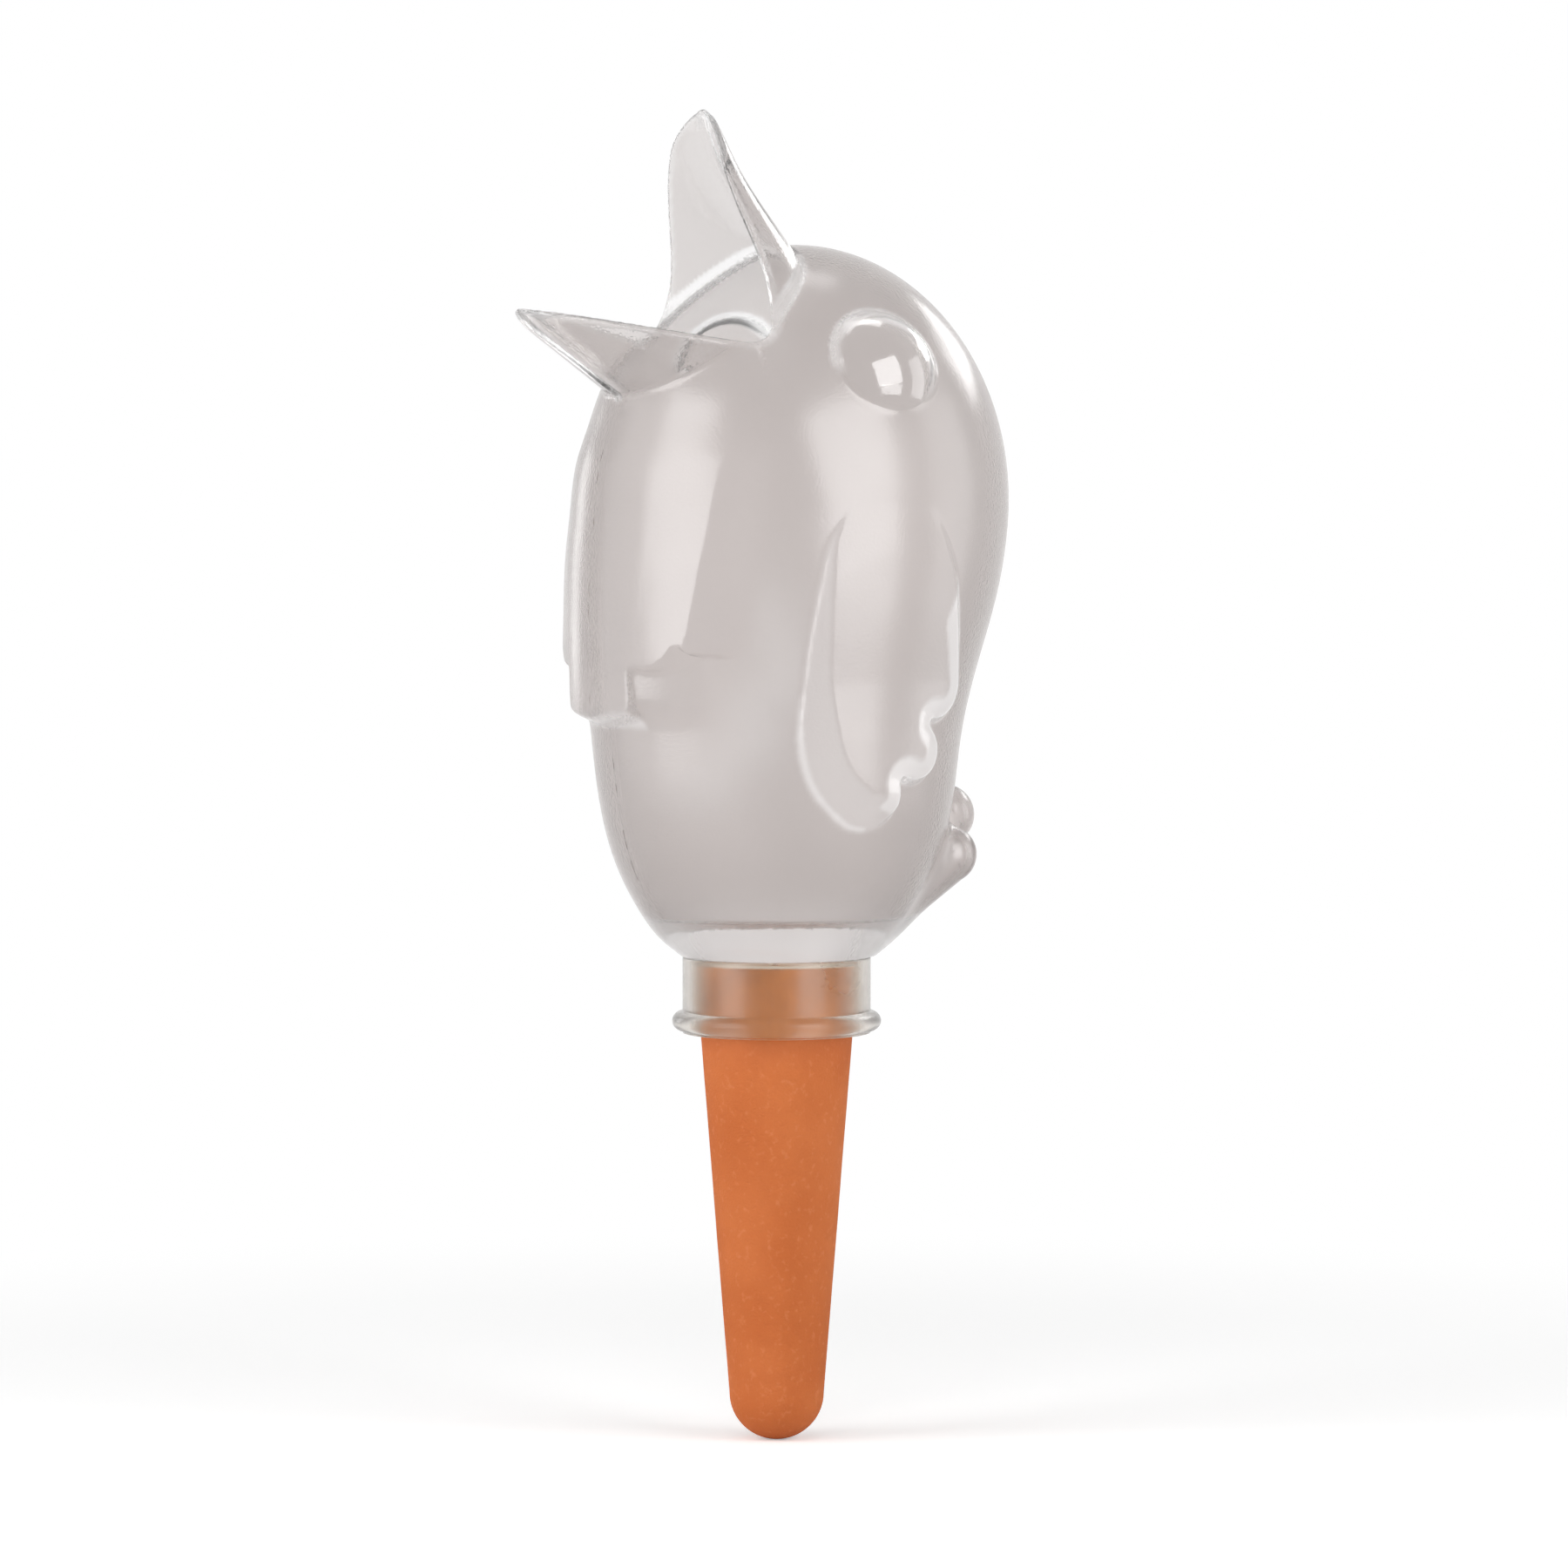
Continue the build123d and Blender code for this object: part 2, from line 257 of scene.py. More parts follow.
def melted(a, b, reach):
    """Union of two forms, rounded over that reach where they meet."""
    near = np.maximum(reach - np.abs(a - b), 0) / reach
    return np.minimum(a, b) - near * near * reach / 4


def trimmed(a, b, reach):
    """What two forms share, rounded over that reach where they meet."""
    return -melted(-a, -b, reach)


def eased(value):
    """0 below 0, 1 above 1 and smooth between."""
    value = np.clip(value, 0, 1)
    return value * value * (3 - 2 * value)


def line_distance(across, up, line):
    """Distance of each place in a flat view to a broken line."""
    best = np.full(across.shape, np.inf)
    for (ax, ay), (bx, by) in zip(line[:-1], line[1:]):
        dx = bx - ax
        dy = by - ay
        share = np.clip(((across - ax) * dx + (up - ay) * dy) / max(dx * dx + dy * dy, 1e-9), 0, 1)
        best = np.minimum(best, np.hypot(across - ax - share * dx, up - ay - share * dy))
    return best


def within(across, up, outline):
    """True where a place in a flat view lies inside a closed outline."""
    inside = np.zeros(across.shape, bool)
    for (ax, ay), (bx, by) in zip(outline, outline[1:] + outline[:1]):
        if ay != by:
            crosses = (up < ay) != (up < by)
            inside ^= crosses & (across < ax + (up - ay) * (bx - ax) / (by - ay))
    return inside


def drawn_curve(points, steps=12):
    """A smooth line through given points, as many short straight runs."""
    line = []
    count = len(points)
    for i in range(count - 1):
        before = np.array(points[max(i - 1, 0)])
        start = np.array(points[i])
        end = np.array(points[i + 1])
        after = np.array(points[min(i + 2, count - 1)])
        for t in np.arange(steps) / steps:
            pull = (end - before) * t + (2 * before - 5 * start + 4 * end - after) * t**2
            twist = (3 * start - before - 3 * end + after) * t**3
            line.append(tuple(start + (pull + twist) / 2))
    return line + [points[-1]]


def drawn_arc(start, middle, end, steps=16):
    """A round stretch through three points, as many short straight runs."""
    a, b, c = (complex(*p) for p in (start, middle, end))
    w = (c - a) / (b - a)
    centre = (b - a) * (w - abs(w) ** 2) / (2j * w.imag) + a
    turn_all = np.angle((c - centre) / (a - centre))
    turn_half = np.angle((b - centre) / (a - centre))
    if turn_half * turn_all < 0 or abs(turn_half) > abs(turn_all):
        turn_all -= math.copysign(2 * math.pi, turn_all)
    spun = centre + (a - centre) * np.exp(1j * turn_all * np.arange(steps + 1) / steps)
    return [(p.real, p.imag) for p in spun]


def softened(heights):
    """A relief with its edges rounded off."""
    reach = int(3 * RELIEF_SOFT / RELIEF_STEP)
    taps = np.exp(-0.5 * (np.arange(-reach, reach + 1) * RELIEF_STEP / RELIEF_SOFT) ** 2)
    taps /= taps.sum()
    for axis in (0, 1):
        heights = np.apply_along_axis(np.convolve, axis, heights, taps, mode="same")
    return heights


def relief(low, high, height_at):
    """A relief over a flat view, worked out once on a fine grid and read from it afterwards."""
    across = np.arange(low[0], high[0], RELIEF_STEP)
    up = np.arange(low[1], high[1], RELIEF_STEP)
    heights = softened(height_at(*np.meshgrid(across, up, indexing="ij")))

    def height(a, b):
        i = np.clip((a - low[0]) / RELIEF_STEP, 0, len(across) - 1.001)
        j = np.clip((b - low[1]) / RELIEF_STEP, 0, len(up) - 1.001)
        i0 = i.astype(int)
        j0 = j.astype(int)
        s = i - i0
        t = j - j0
        near = heights[i0, j0] * (1 - t) + heights[i0, j0 + 1] * t
        far = heights[i0 + 1, j0] * (1 - t) + heights[i0 + 1, j0 + 1] * t
        return near * (1 - s) + far * s

    return height


def wing_outline():
    """The wing's leading line and its scalloped trailing line."""
    lead = drawn_curve([WING_TOP] + WING_LEAD + [WING_TIP])
    trail = []
    start = WING_TIP
    for middle, end in WING_LOBES:
        trail += drawn_arc(start, middle, end)
        start = end
    trail += drawn_curve([start] + WING_TRAIL + [WING_TOP])
    return lead, trail


def wing_facets(behind, up):
    """Where the wing is, the distances to its two lines, and the widths of its bevel and its band."""
    lead, trail = wing_outline()
    bevel_width = np.interp(up, WING_BEVEL_HEIGHTS, WING_BEVEL_WIDTHS)
    from_lead = line_distance(behind, up, lead)
    from_trail = line_distance(behind, up, trail)
    band_width = WING_BAND * eased((WING_BAND_FROM - up) / (WING_BAND_FROM - WING_BAND_FULL))
    return within(behind, up, lead + trail), from_lead, bevel_width, from_trail, band_width


def wing_height(behind, up):
    """The wing's rise over the body: a bevel along its lead, a narrow fall and a step along its scallops."""
    inside, from_lead, bevel_width, from_trail, band_width = wing_facets(behind, up)
    rise = np.minimum(from_lead, bevel_width) * WING_BEVEL_SLOPE
    rise += WING_LIP * np.minimum(from_lead / WING_LIP, 1) * eased(bevel_width / WING_STEP)
    rise -= WING_BAND_DROP * np.clip(1 - from_trail / np.maximum(band_width, 0.1), 0, 1)
    step = np.clip(from_trail / WING_STEP, 0, 1)
    return np.where(inside, np.maximum(rise, 0) * step, 0)


def wing_band(behind, up):
    """1 on the wing's trailing band and on the low part of its leading edge, where a highlight is painted,
    else 0.
    """
    inside, from_lead, _, from_trail, band_width = wing_facets(behind, up)
    trail = from_trail < band_width * eased((up - WING_BAND_END) / WING_BAND_FADE)
    lead = from_lead < WING_LINE * eased((WING_LINE_FROM - up) / WING_LINE_FADE)
    return np.where(inside & (trail | lead), 1.0, 0.0)


def wing_bevel(behind, up):
    """1 on the wing's leading bevel, where light is painted, else 0."""
    inside, from_lead, bevel_width, _, _ = wing_facets(behind, up)
    return np.where(inside & (from_lead < bevel_width), 1.0, 0.0)


def bib_height(beside, up):
    """The bib's rise over the chest: lifted towards the ridge at its side, with a steep step at its hem."""
    beside = np.abs(beside)
    ridge = drawn_curve([(BIB_RIDGE[0][0], BIB_TOP)] + BIB_RIDGE)
    hem = drawn_arc(BIB_RIDGE[-1], *BIB_LOBE) + drawn_curve(BIB_LOBE[-1:] + BIB_TAB)
    hem += [(-across, height) for across, height in reversed(hem)]
    outline = ridge + hem + [(-across, height) for across, height in reversed(ridge)]
    inside = within(beside, up, outline)
    from_ridge = line_distance(beside, up, ridge)
    fall = np.clip((BIB_RISE_FROM - up) / (BIB_RISE_FROM - BIB_TAB[-1][1]), 0, 1)
    start = eased(BIB_LIFT_START * fall)
    lift = BIB_LIFT * np.clip(1 - from_ridge / BIB_LIFT_REACH, 0, 1) ** BIB_LIFT_CURVE * start
    rise = BIB_RISE * fall**BIB_RISE_CURVE * eased(BIB_RISE_START * fall)
    on_top = (rise + lift) * np.clip(line_distance(beside, up, hem) / BIB_HEM, 0, 1)
    beyond = (rise + BIB_LIFT * start) * (1 - eased(from_ridge / BIB_BORDER))
    below = up < BIB_RIDGE[-1][1]
    skirt = SKIRT_RISE * np.clip(1 - (beside - BIB_TAB[0][0]) / SKIRT_WIDTH, 0, 1)
    skirt = np.where(below, skirt * eased((up - BIB_TAB[-1][1]) / SKIRT_HEIGHT), 0)
    return np.where(inside, np.maximum(on_top, skirt), np.where(below, skirt, beyond))


def bib_hem(beside, up):
    """1 on the foot of the bib's tab, where a highlight from below is painted, else 0."""
    foot = BIB_TAB[1:] + [(-BIB_TAB[1][0], BIB_TAB[1][1])]
    near = line_distance(beside, up, foot) < BIB_FOOT
    return np.where(near & (np.abs(beside) < BIB_TAB[1][0]) & (up > BIB_TAB[-1][1]), 1.0, 0.0)


wing_relief = relief(*WING_VIEW, wing_height)
# These masks mark where painted highlights and painted light go: the wing's band, its bevel and the bib's hem
wing_highlight_mask = relief(*WING_VIEW, wing_band)
wing_bevel_mask = relief(*WING_VIEW, wing_bevel)
bib_relief = relief(*BIB_VIEW, bib_height)
bib_hem_mask = relief(*BIB_VIEW, bib_hem)


def body_form(x, y, z):
    """The plain body: below 0 inside, about in millimetres."""
    half_width = body_half_width(z)
    up = np.maximum(z - SHOULDER, 0) / CROWN_RISE
    reach = np.sqrt((x / half_width) ** 2 + ((y - body_set_back(z)) / body_half_depth(z)) ** 2 + up**2)
    return (reach - 1) * half_width


def body_relief(x, y, z):
    """How far the wings and the bib stand out of the plain body."""
    in_front = np.clip(-y / BIB_FADE, 0, 1)
    return wing_relief(y, z) + bib_relief(x, z) * in_front


def beak_place(y, z, slope, side):
    """Distance along a rim from the mouth's corner, and depth below that rim."""
    back = y + MOUTH_FRONT
    up = z - MOUTH_HEIGHT
    along = -back * math.cos(slope) + up * math.sin(slope)
    deep = -side * (back * math.sin(slope) + up * math.cos(slope))
    return along, deep


def lower_place(y, z):
    return beak_place(y, z, LOWER_SLOPE, 1)


def upper_place(y, z):
    along, deep = beak_place(y, z, UPPER_SLOPE, -1)
    return along, deep - rim_sway(along)


def blunt(from_tip, reach):
    """A round nose over that reach, as a share of the full size."""
    return np.sqrt(1 - (1 - np.minimum(from_tip, reach) / reach) ** 2)


def scoop_form(x, along, deep, length):
    """One half of the beak as a solid scoop."""
    from_tip = np.maximum(length - along, 0.02)
    half_width = (BEAK_WIDTH + BEAK_WIDEN * from_tip) * blunt(from_tip, BEAK_TIP_WIDE)
    depth = (BEAK_DEPTH + BEAK_DEEPEN * from_tip) * blunt(from_tip, BEAK_TIP_DEEP)
    reach = np.sqrt((x / half_width) ** 2 + (np.maximum(deep, 0) / depth) ** 2)
    side = (reach - 1) * np.minimum(half_width, depth)
    side -= KEEL_RISE * np.exp(-((x / KEEL_HALF_WIDTH) ** 2)) * eased(deep / depth)
    return np.maximum.reduce([side, -deep - BEAK_TRIM, -along - BEAK_ROOT, along - length])


def feather_form(x, y, z, root, end, root_radius, end_radius):
    """A tapered tail feather with round ends."""
    run = np.array(end) - np.array(root)
    share = (x - root[0]) * run[0] + (y - root[1]) * run[1] + (z - root[2]) * run[2]
    share = np.clip(share / run.dot(run), 0, 1)
    away = [p - a - share * d for p, a, d in zip((x, y, z), root, run)]
    return np.sqrt(sum(part * part for part in away)) - root_radius - share * (end_radius - root_radius)


def eye_form(x, y, z):
    away = [p - c for p, c in zip((x, y, z), EYE_CENTRE)]
    return np.sqrt(sum(part * part for part in away)) - EYE_RADIUS


def beak_form(x, y, z):
    lower = scoop_form(x, *lower_place(y, z), LOWER_LENGTH)
    upper = scoop_form(x, *upper_place(y, z), UPPER_LENGTH)
    return np.minimum(lower, upper)


def in_turn(first, second, like):
    """Two values as a stack that goes with two forms."""
    return np.array([first, second]).reshape(-1, *[1] * np.ndim(like))


def bird_forms(x, y, z):
    """The bird's outside, and the plain core that its hollow follows: each is below 0 inside."""
    x = np.abs(x)
    plain = body_form(x, y, z)
    forms = np.stack([plain - body_relief(x, y, z), plain])
    forms = melted(forms, beak_form(x, y, z), in_turn(BEAK_MELT, BEAK_CORE_MELT, x))
    forms = melted(forms, eye_form(x, y, z), in_turn(EYE_MELT, EYE_CORE_MELT, x))
    upper, lower = (feather_form(x, y, z, *feather) for feather in TAIL_FEATHERS)
    return melted(forms, melted(upper, lower, FEATHER_MELT), TAIL_MELT)


def mouth_opening(y, z):
    """Above 0 in the gape between the two rims, whose corner is round."""
    over_lower = -lower_place(y, z)[1]
    over_upper = -upper_place(y, z)[1]
    corner = np.hypot(np.maximum(MOUTH_ROUND - over_lower, 0), np.maximum(MOUTH_ROUND - over_upper, 0))
    return np.where(corner > 0, MOUTH_ROUND - corner, np.minimum(over_lower, over_upper))


def wall_form(outside, core, x, y, z):
    """The moulded wall, from the distance to the bird's outside and to its core."""
    hollow = trimmed(core + WALL, FLOOR_TOP - z, FLOOR_ROUND)
    flare = FLOOR_HOLE + FLOOR_FLARE * (z - NECK) / (FLOOR_TOP - NECK)
    passage = np.maximum(np.hypot(x, y) - flare, z - FLOOR_TOP - FLOOR_ROUND)
    wall = np.maximum(outside, -np.minimum(hollow, passage))
    wall = trimmed(wall, mouth_opening(y, z), RIM_ROUND)
    return np.maximum(wall, NECK - z)


PROBES = PROBE * np.array([(1, -1, -1), (-1, -1, 1), (-1, 1, -1), (1, 1, 1)])


def slope_of(form, points):
    """The uphill direction of a form at points, and its value there."""
    values = [form(points + probe) for probe in PROBES]
    uphill = sum(value[..., None] * probe for value, probe in zip(values, PROBES)) / (4 * PROBE**2)
    return uphill, sum(values) / 4


def bird_distances(points):
    """Distances of points to the bird's outside and to its core."""
    uphill, levels = slope_of(lambda p: bird_forms(*p.T), points)
    return levels / np.maximum(np.linalg.norm(uphill, axis=-1), LEAST_SLOPE)


def wall_at(points):
    """The wall's form at points anywhere."""
    return wall_form(*bird_distances(points), *points.T)


def wall_on_grid():
    """The wall's form on the mesh's grid."""
    lines = [np.arange(low, high, GRID) for low, high in zip(GRID_LOW, GRID_HIGH)]
    places = np.meshgrid(*lines, indexing="ij")
    levels = []
    for form in bird_forms(*places):
        slope = np.sqrt(sum(part * part for part in np.gradient(form, GRID)))
        levels.append(form / np.maximum(slope, LEAST_SLOPE))
    return wall_form(*levels, *places)


def surface_net(values):
    """Points and four-sided faces where values on the grid change sign."""
    inside = values < 0
    corners = np.array([(i, j, k) for i in (0, 1) for j in (0, 1) for k in (0, 1)])
    size = np.array(values.shape) - 1
    filled = np.zeros(size, int)
    for corner in corners:
        filled += inside[tuple(slice(c, c + n) for c, n in zip(corner, size))]
    cells = np.argwhere((filled > 0) & (filled < len(corners)))
    number = np.full(size, -1)
    number[tuple(cells.T)] = np.arange(len(cells))
    level = np.array([values[tuple((cells + corner).T)] for corner in corners]).T
    total = np.zeros((len(cells), 3))
    count = np.zeros((len(cells), 1))
    for a in range(len(corners)):
        for b in range(a + 1, len(corners)):
            if np.abs(corners[a] - corners[b]).sum() == 1:
                crosses = (level[:, a] < 0) != (level[:, b] < 0)
                share = np.where(crosses, level[:, a] / np.where(crosses, level[:, a] - level[:, b], 1), 0)
                place = corners[a] + share[:, None] * (corners[b] - corners[a])
                total += crosses[:, None] * place
                count += crosses[:, None]
    points = (cells + total / count) * GRID + np.array(GRID_LOW)
    faces = []
    for axis in range(3):
        b, c = (axis + 1) % 3, (axis + 2) % 3
        edges = np.argwhere(np.diff(inside, axis=axis))
        edges = edges[(edges[:, b] > 0) & (edges[:, c] > 0)]
        edges = edges[(edges[:, b] < size[b]) & (edges[:, c] < size[c])]
        step_b = np.eye(3, dtype=int)[b]
        step_c = np.eye(3, dtype=int)[c]
        ring = [number[tuple((edges - move).T)] for move in (0 * step_b, step_b, step_b + step_c, step_c)]
        ring = np.array(ring).T
        starts_inside = inside[tuple(edges.T)]
        ring[~starts_inside] = ring[~starts_inside][:, ::-1]
        faces.append(ring)
    return points, np.vstack(faces)


def settled(points, faces):
    """The net's points spread evenly and laid on the wall's true surface."""
    for _ in range(SETTLE_ROUNDS):
        middles = points[faces].mean(axis=1)
        total = np.zeros_like(points)
        count = np.zeros((len(points), 1))
        for column in faces.T:
            np.add.at(total, column, middles)
            np.add.at(count, column, 1)
        points = np.where(count > 0, (points + total / np.maximum(count, 1)) / 2, points)
        for _ in range(2):
            uphill, value = slope_of(wall_at, points)
            step = value[:, None] * uphill / np.maximum((uphill**2).sum(axis=1, keepdims=True), 0.05)
            length = np.linalg.norm(step, axis=1, keepdims=True)
            points = points - step * np.minimum(1, SETTLE_STEP * GRID / np.maximum(length, 1e-9))
    return points


def half_mesh():
    """The left half of the bird's wall as a closed mesh, cut flat on the midplane."""
    points, faces = surface_net(wall_on_grid())
    points = settled(points, faces)
    mesh = bpy.data.meshes.new("wall")
    mesh.from_pydata(points.tolist(), [], faces.tolist())
    made = bmesh.new()
    made.from_mesh(mesh)
    loose = [point for point in made.verts if not point.link_faces]
    bmesh.ops.delete(made, geom=loose, context="VERTS")
    everything = made.verts[:] + made.edges[:] + made.faces[:]
    cut = bmesh.ops.bisect_plane(
        made, geom=everything, dist=1e-4, plane_co=(FACE_GAP / 2, 0, 0), plane_no=(1, 0, 0), clear_inner=True
    )
    rim = [item for item in cut["geom_cut"] if isinstance(item, bmesh.types.BMEdge)]
    bmesh.ops.triangle_fill(made, edges=rim, use_beauty=True, normal=(-1, 0, 0))
    made.to_mesh(mesh)
    made.free()
    return mesh


def mesh_arrays(mesh):
    """Points, each corner's point and each face's corner count."""
    points = np.zeros(len(mesh.vertices) * 3)
    mesh.vertices.foreach_get("co", points)
    corners = np.zeros(len(mesh.loops), int)
    mesh.loops.foreach_get("vertex_index", corners)
    counts = np.zeros(len(mesh.polygons), int)
    mesh.polygons.foreach_get("loop_total", counts)
    return points.reshape(-1, 3), corners, counts


def keel_highlight(x, y, z):
    """1 along the lower beak's keel, where a highlight from below is painted, else 0."""
    along, deep = lower_place(y, z)
    lower = scoop_form(x, along, deep, LOWER_LENGTH)
    across = eased((KEEL_HALF_WIDTH + KEEL_FADE - x) / KEEL_FADE)
    return across * eased(deep - KEEL_FROM) * eased((KEEL_SKIN - lower) / EDGE_FADE)


def rim_and_tip_highlight(y, z):
    """1 along the beak's rims and tips, where the moulding is thin and a highlight is painted, else 0."""
    from_lower_tip = LOWER_LENGTH - lower_place(y, z)[0]
    from_upper_tip = UPPER_LENGTH - upper_place(y, z)[0]
    rim = eased((mouth_opening(y, z) + RIM_REACH) / EDGE_FADE)
    return np.maximum(rim, eased((TIP_REACH - np.minimum(from_lower_tip, from_upper_tip)) / TIP_FADE))


def crease_highlight(x, y, z):
    """1 along the creases round the upper beak's root and over the eyes, where a highlight is painted as
    clearness, else 0.
    """
    plain = body_form(x, y, z)
    along, deep = upper_place(y, z)
    upper = scoop_form(x, along, deep, UPPER_LENGTH)
    root = eased((CREASE_REACH - np.abs(plain - upper)) / CREASE_FADE) * eased(along / CREASE_START)
    past = plain - eye_form(x, y, z)
    above = z - EYE_CENTRE[2]
    wider = eased((above - EYE_CREASE_WIDER_FROM) / EYE_CREASE_WIDER_OVER)
    reach = EYE_CREASE_OUT + EYE_CREASE_WIDER * wider
    ring = eased((past + EYE_CREASE_IN) / EYE_CREASE_IN_FADE) * eased((reach - past) / EYE_CREASE_OUT_FADE)
    return np.maximum(root, ring * eased((above - EYE_CREASE_FROM) / EYE_CREASE_FROM_FADE))


def finish_of_points(points):
    """For each point: polish; clearness, partly painted light and painted highlights; haze inside;
    see-through on thin rims, partly painted highlights; and gloss on eyes and wing bands.
    """
    x, y, z = np.abs(points[:, 0]), points[:, 1], points[:, 2]
    plain = body_form(x, y, z)
    gloss = eased((plain - eye_form(x, y, z)) / POLISH_FADE + POLISH_LEAD)
    beak = eased((plain - beak_form(x, y, z)) / POLISH_FADE + POLISH_LEAD)
    polish = np.maximum(gloss, beak)
    outer = eased((bird_distances(points)[0] + 0.5 * WALL) / OUTER_FADE)
    # Painted highlights: clearer and see-through creases at the upper beak's root and over each eye
    crease = crease_highlight(x, y, z)
    # Painted light from below: the floor band is clearer and so lighter
    floor = FLOOR_PAINTED_LIGHT * eased((FLOOR_TOP + FLOOR_FADE / 2 - z) / FLOOR_FADE)
    # Painted light: the wing's bevel is clearer and so lighter
    bevel = BEVEL_PAINTED_LIGHT * wing_bevel_mask(y, z)
    # Painted highlight from below: the foot of the bib's tab is clearer and so lighter
    hem = HEM_PAINTED_HIGHLIGHT * bib_hem_mask(x, z) * np.clip(-y, 0, 1)
    # Painted highlight: the wing's trailing band and the low part of its leading edge are clear, and get the
    # coat's gloss
    band = wing_highlight_mask(y, z)
    # Painted highlight from below: the lower beak's keel is clearer and partly see-through
    keel = keel_highlight(x, y, z)
    # The beak is a little clearer, partly for its thin wall and partly as a painted highlight
    beak = np.maximum(BEAK_CLEAR_AND_HIGHLIGHT * beak, KEEL_PAINTED_HIGHLIGHT * keel)
    # Clearness: the inner faces, with the painted light and painted highlights above
    clear = np.maximum.reduce([1 - outer, beak, floor, band, bevel, hem, CREASE_PAINTED_HIGHLIGHT * crease])
    # See-through rims, tips, keel and creases: thin moulding there, with painted highlights
    edge = np.maximum(EDGE_SEE_THROUGH * np.maximum(rim_and_tip_highlight(y, z), keel), CREASE_SEE_THROUGH * crease)
    return polish, clear, (1 - outer) * (1 - polish), edge, np.maximum(gloss, band) * outer


def make_shell(name, source, side):
    """One half of the bird as an object, mirrored for the right side."""
    points, corners, counts = source
    starts = np.concatenate([[0], np.cumsum(counts)])
    faces = [corners[a:b] for a, b in zip(starts[:-1], starts[1:])]
    if side < 0:
        faces = [face[::-1] for face in faces]
    placed = points * np.array((side, 1, 1)) * MM
    mesh = bpy.data.meshes.new(name)
    mesh.from_pydata(placed.tolist(), [], [face.tolist() for face in faces])
    for title, values in zip(("polish", "clear", "haze", "edge", "gloss"), finish_of_points(points)):
        layer = mesh.attributes.new(title, "FLOAT", "POINT")
        layer.data.foreach_set("value", values)
    on_cut = points[:, 0] < FACE_GAP
    welded = np.array([on_cut[face].all() for face in faces])
    layer = mesh.attributes.new("weld", "FLOAT", "FACE")
    layer.data.foreach_set("value", welded.astype(float))
    mesh.shade_smooth()
    uphill, _ = slope_of(wall_at, points)
    normals = uphill / np.maximum(np.linalg.norm(uphill, axis=1, keepdims=True), 1e-9)
    order = np.concatenate(faces)
    flat = np.repeat(welded, counts)
    per_corner = np.where(flat[:, None], (-1.0, 0.0, 0.0), normals[order]) * np.array((side, 1, 1))
    mesh.normals_split_custom_set(per_corner.tolist())
    return new_object(name, mesh)


def new_object(name, data):
    made = bpy.data.objects.new(name, data)
    bpy.context.scene.collection.objects.link(made)
    return made


def fill_sockets(tree, node, inputs):
    """Joins a node's inputs to outputs of other nodes, or sets them to plain values."""
    for title, value in inputs.items():
        if isinstance(value, bpy.types.NodeSocket):
            tree.links.new(value, node.inputs[title])
        else:
            node.inputs[title].default_value = value


def node_tools(tree):
    """Ways to add any node, a piece of arithmetic and a change of range to a tree."""

    def add(kind, inputs=None, **settings):
        node = tree.nodes.new(kind)
        for title, value in settings.items():
            setattr(node, title, value)
        fill_sockets(tree, node, inputs or {})
        return node

    def work(operation, *values):
        return add("ShaderNodeMath", dict(enumerate(values)), operation=operation).outputs[0]

    def ranged(value, low, high, to_low=0.0, to_high=1.0, **settings):
        limits = {"From Min": low, "From Max": high, "To Min": to_low, "To Max": to_high}
        return add("ShaderNodeMapRange", {"Value": value, **limits}, **settings).outputs["Result"]

    return add, work, ranged


def new_tree(name, inputs):
    """A Geometry Nodes tree with named inputs, and the sockets that they come in by."""
    tree = bpy.data.node_groups.new(name, "GeometryNodeTree")
    for title, kind in inputs.items():
        tree.interface.new_socket(title, in_out="INPUT", socket_type="NodeSocket" + kind)
    tree.interface.new_socket("Geometry", in_out="OUTPUT", socket_type="NodeSocketGeometry")
    return tree, tree.nodes.new("NodeGroupInput").outputs


def ended_tree(tree, geometry, steps):
    """The tree with its last steps, each of which takes the geometry of the one before."""
    add, _, _ = node_tools(tree)
    for kind, inputs in steps:
        geometry = add(kind, {"Geometry": geometry, **inputs}).outputs["Geometry"]
    add("NodeGroupOutput", {0: geometry})
    return tree


def end_in_mix(tree, ending, share, first, second):
    """Ends a shader tree in a mix of two shaders."""
    add, _, _ = node_tools(tree)
    mix = add("ShaderNodeMixShader", {"Fac": share, 1: first.outputs[0], 2: second.outputs[0]})
    tree.links.new(mix.outputs[0], tree.nodes[ending].inputs["Surface"])


# Turned pieces: profiles as (radius, height), closed or from axis to axis
SIDES = 160
SEAM_MERGE = 0.002
TURNED_INPUTS = {
    "Guide": "Object",
    "Sides": "Int",
    "Rows": "Int",
    "Skin Height": "Float",
    "Skin Scale": "Float",
    "Seed": "Float",
    "Material": "Material",
}


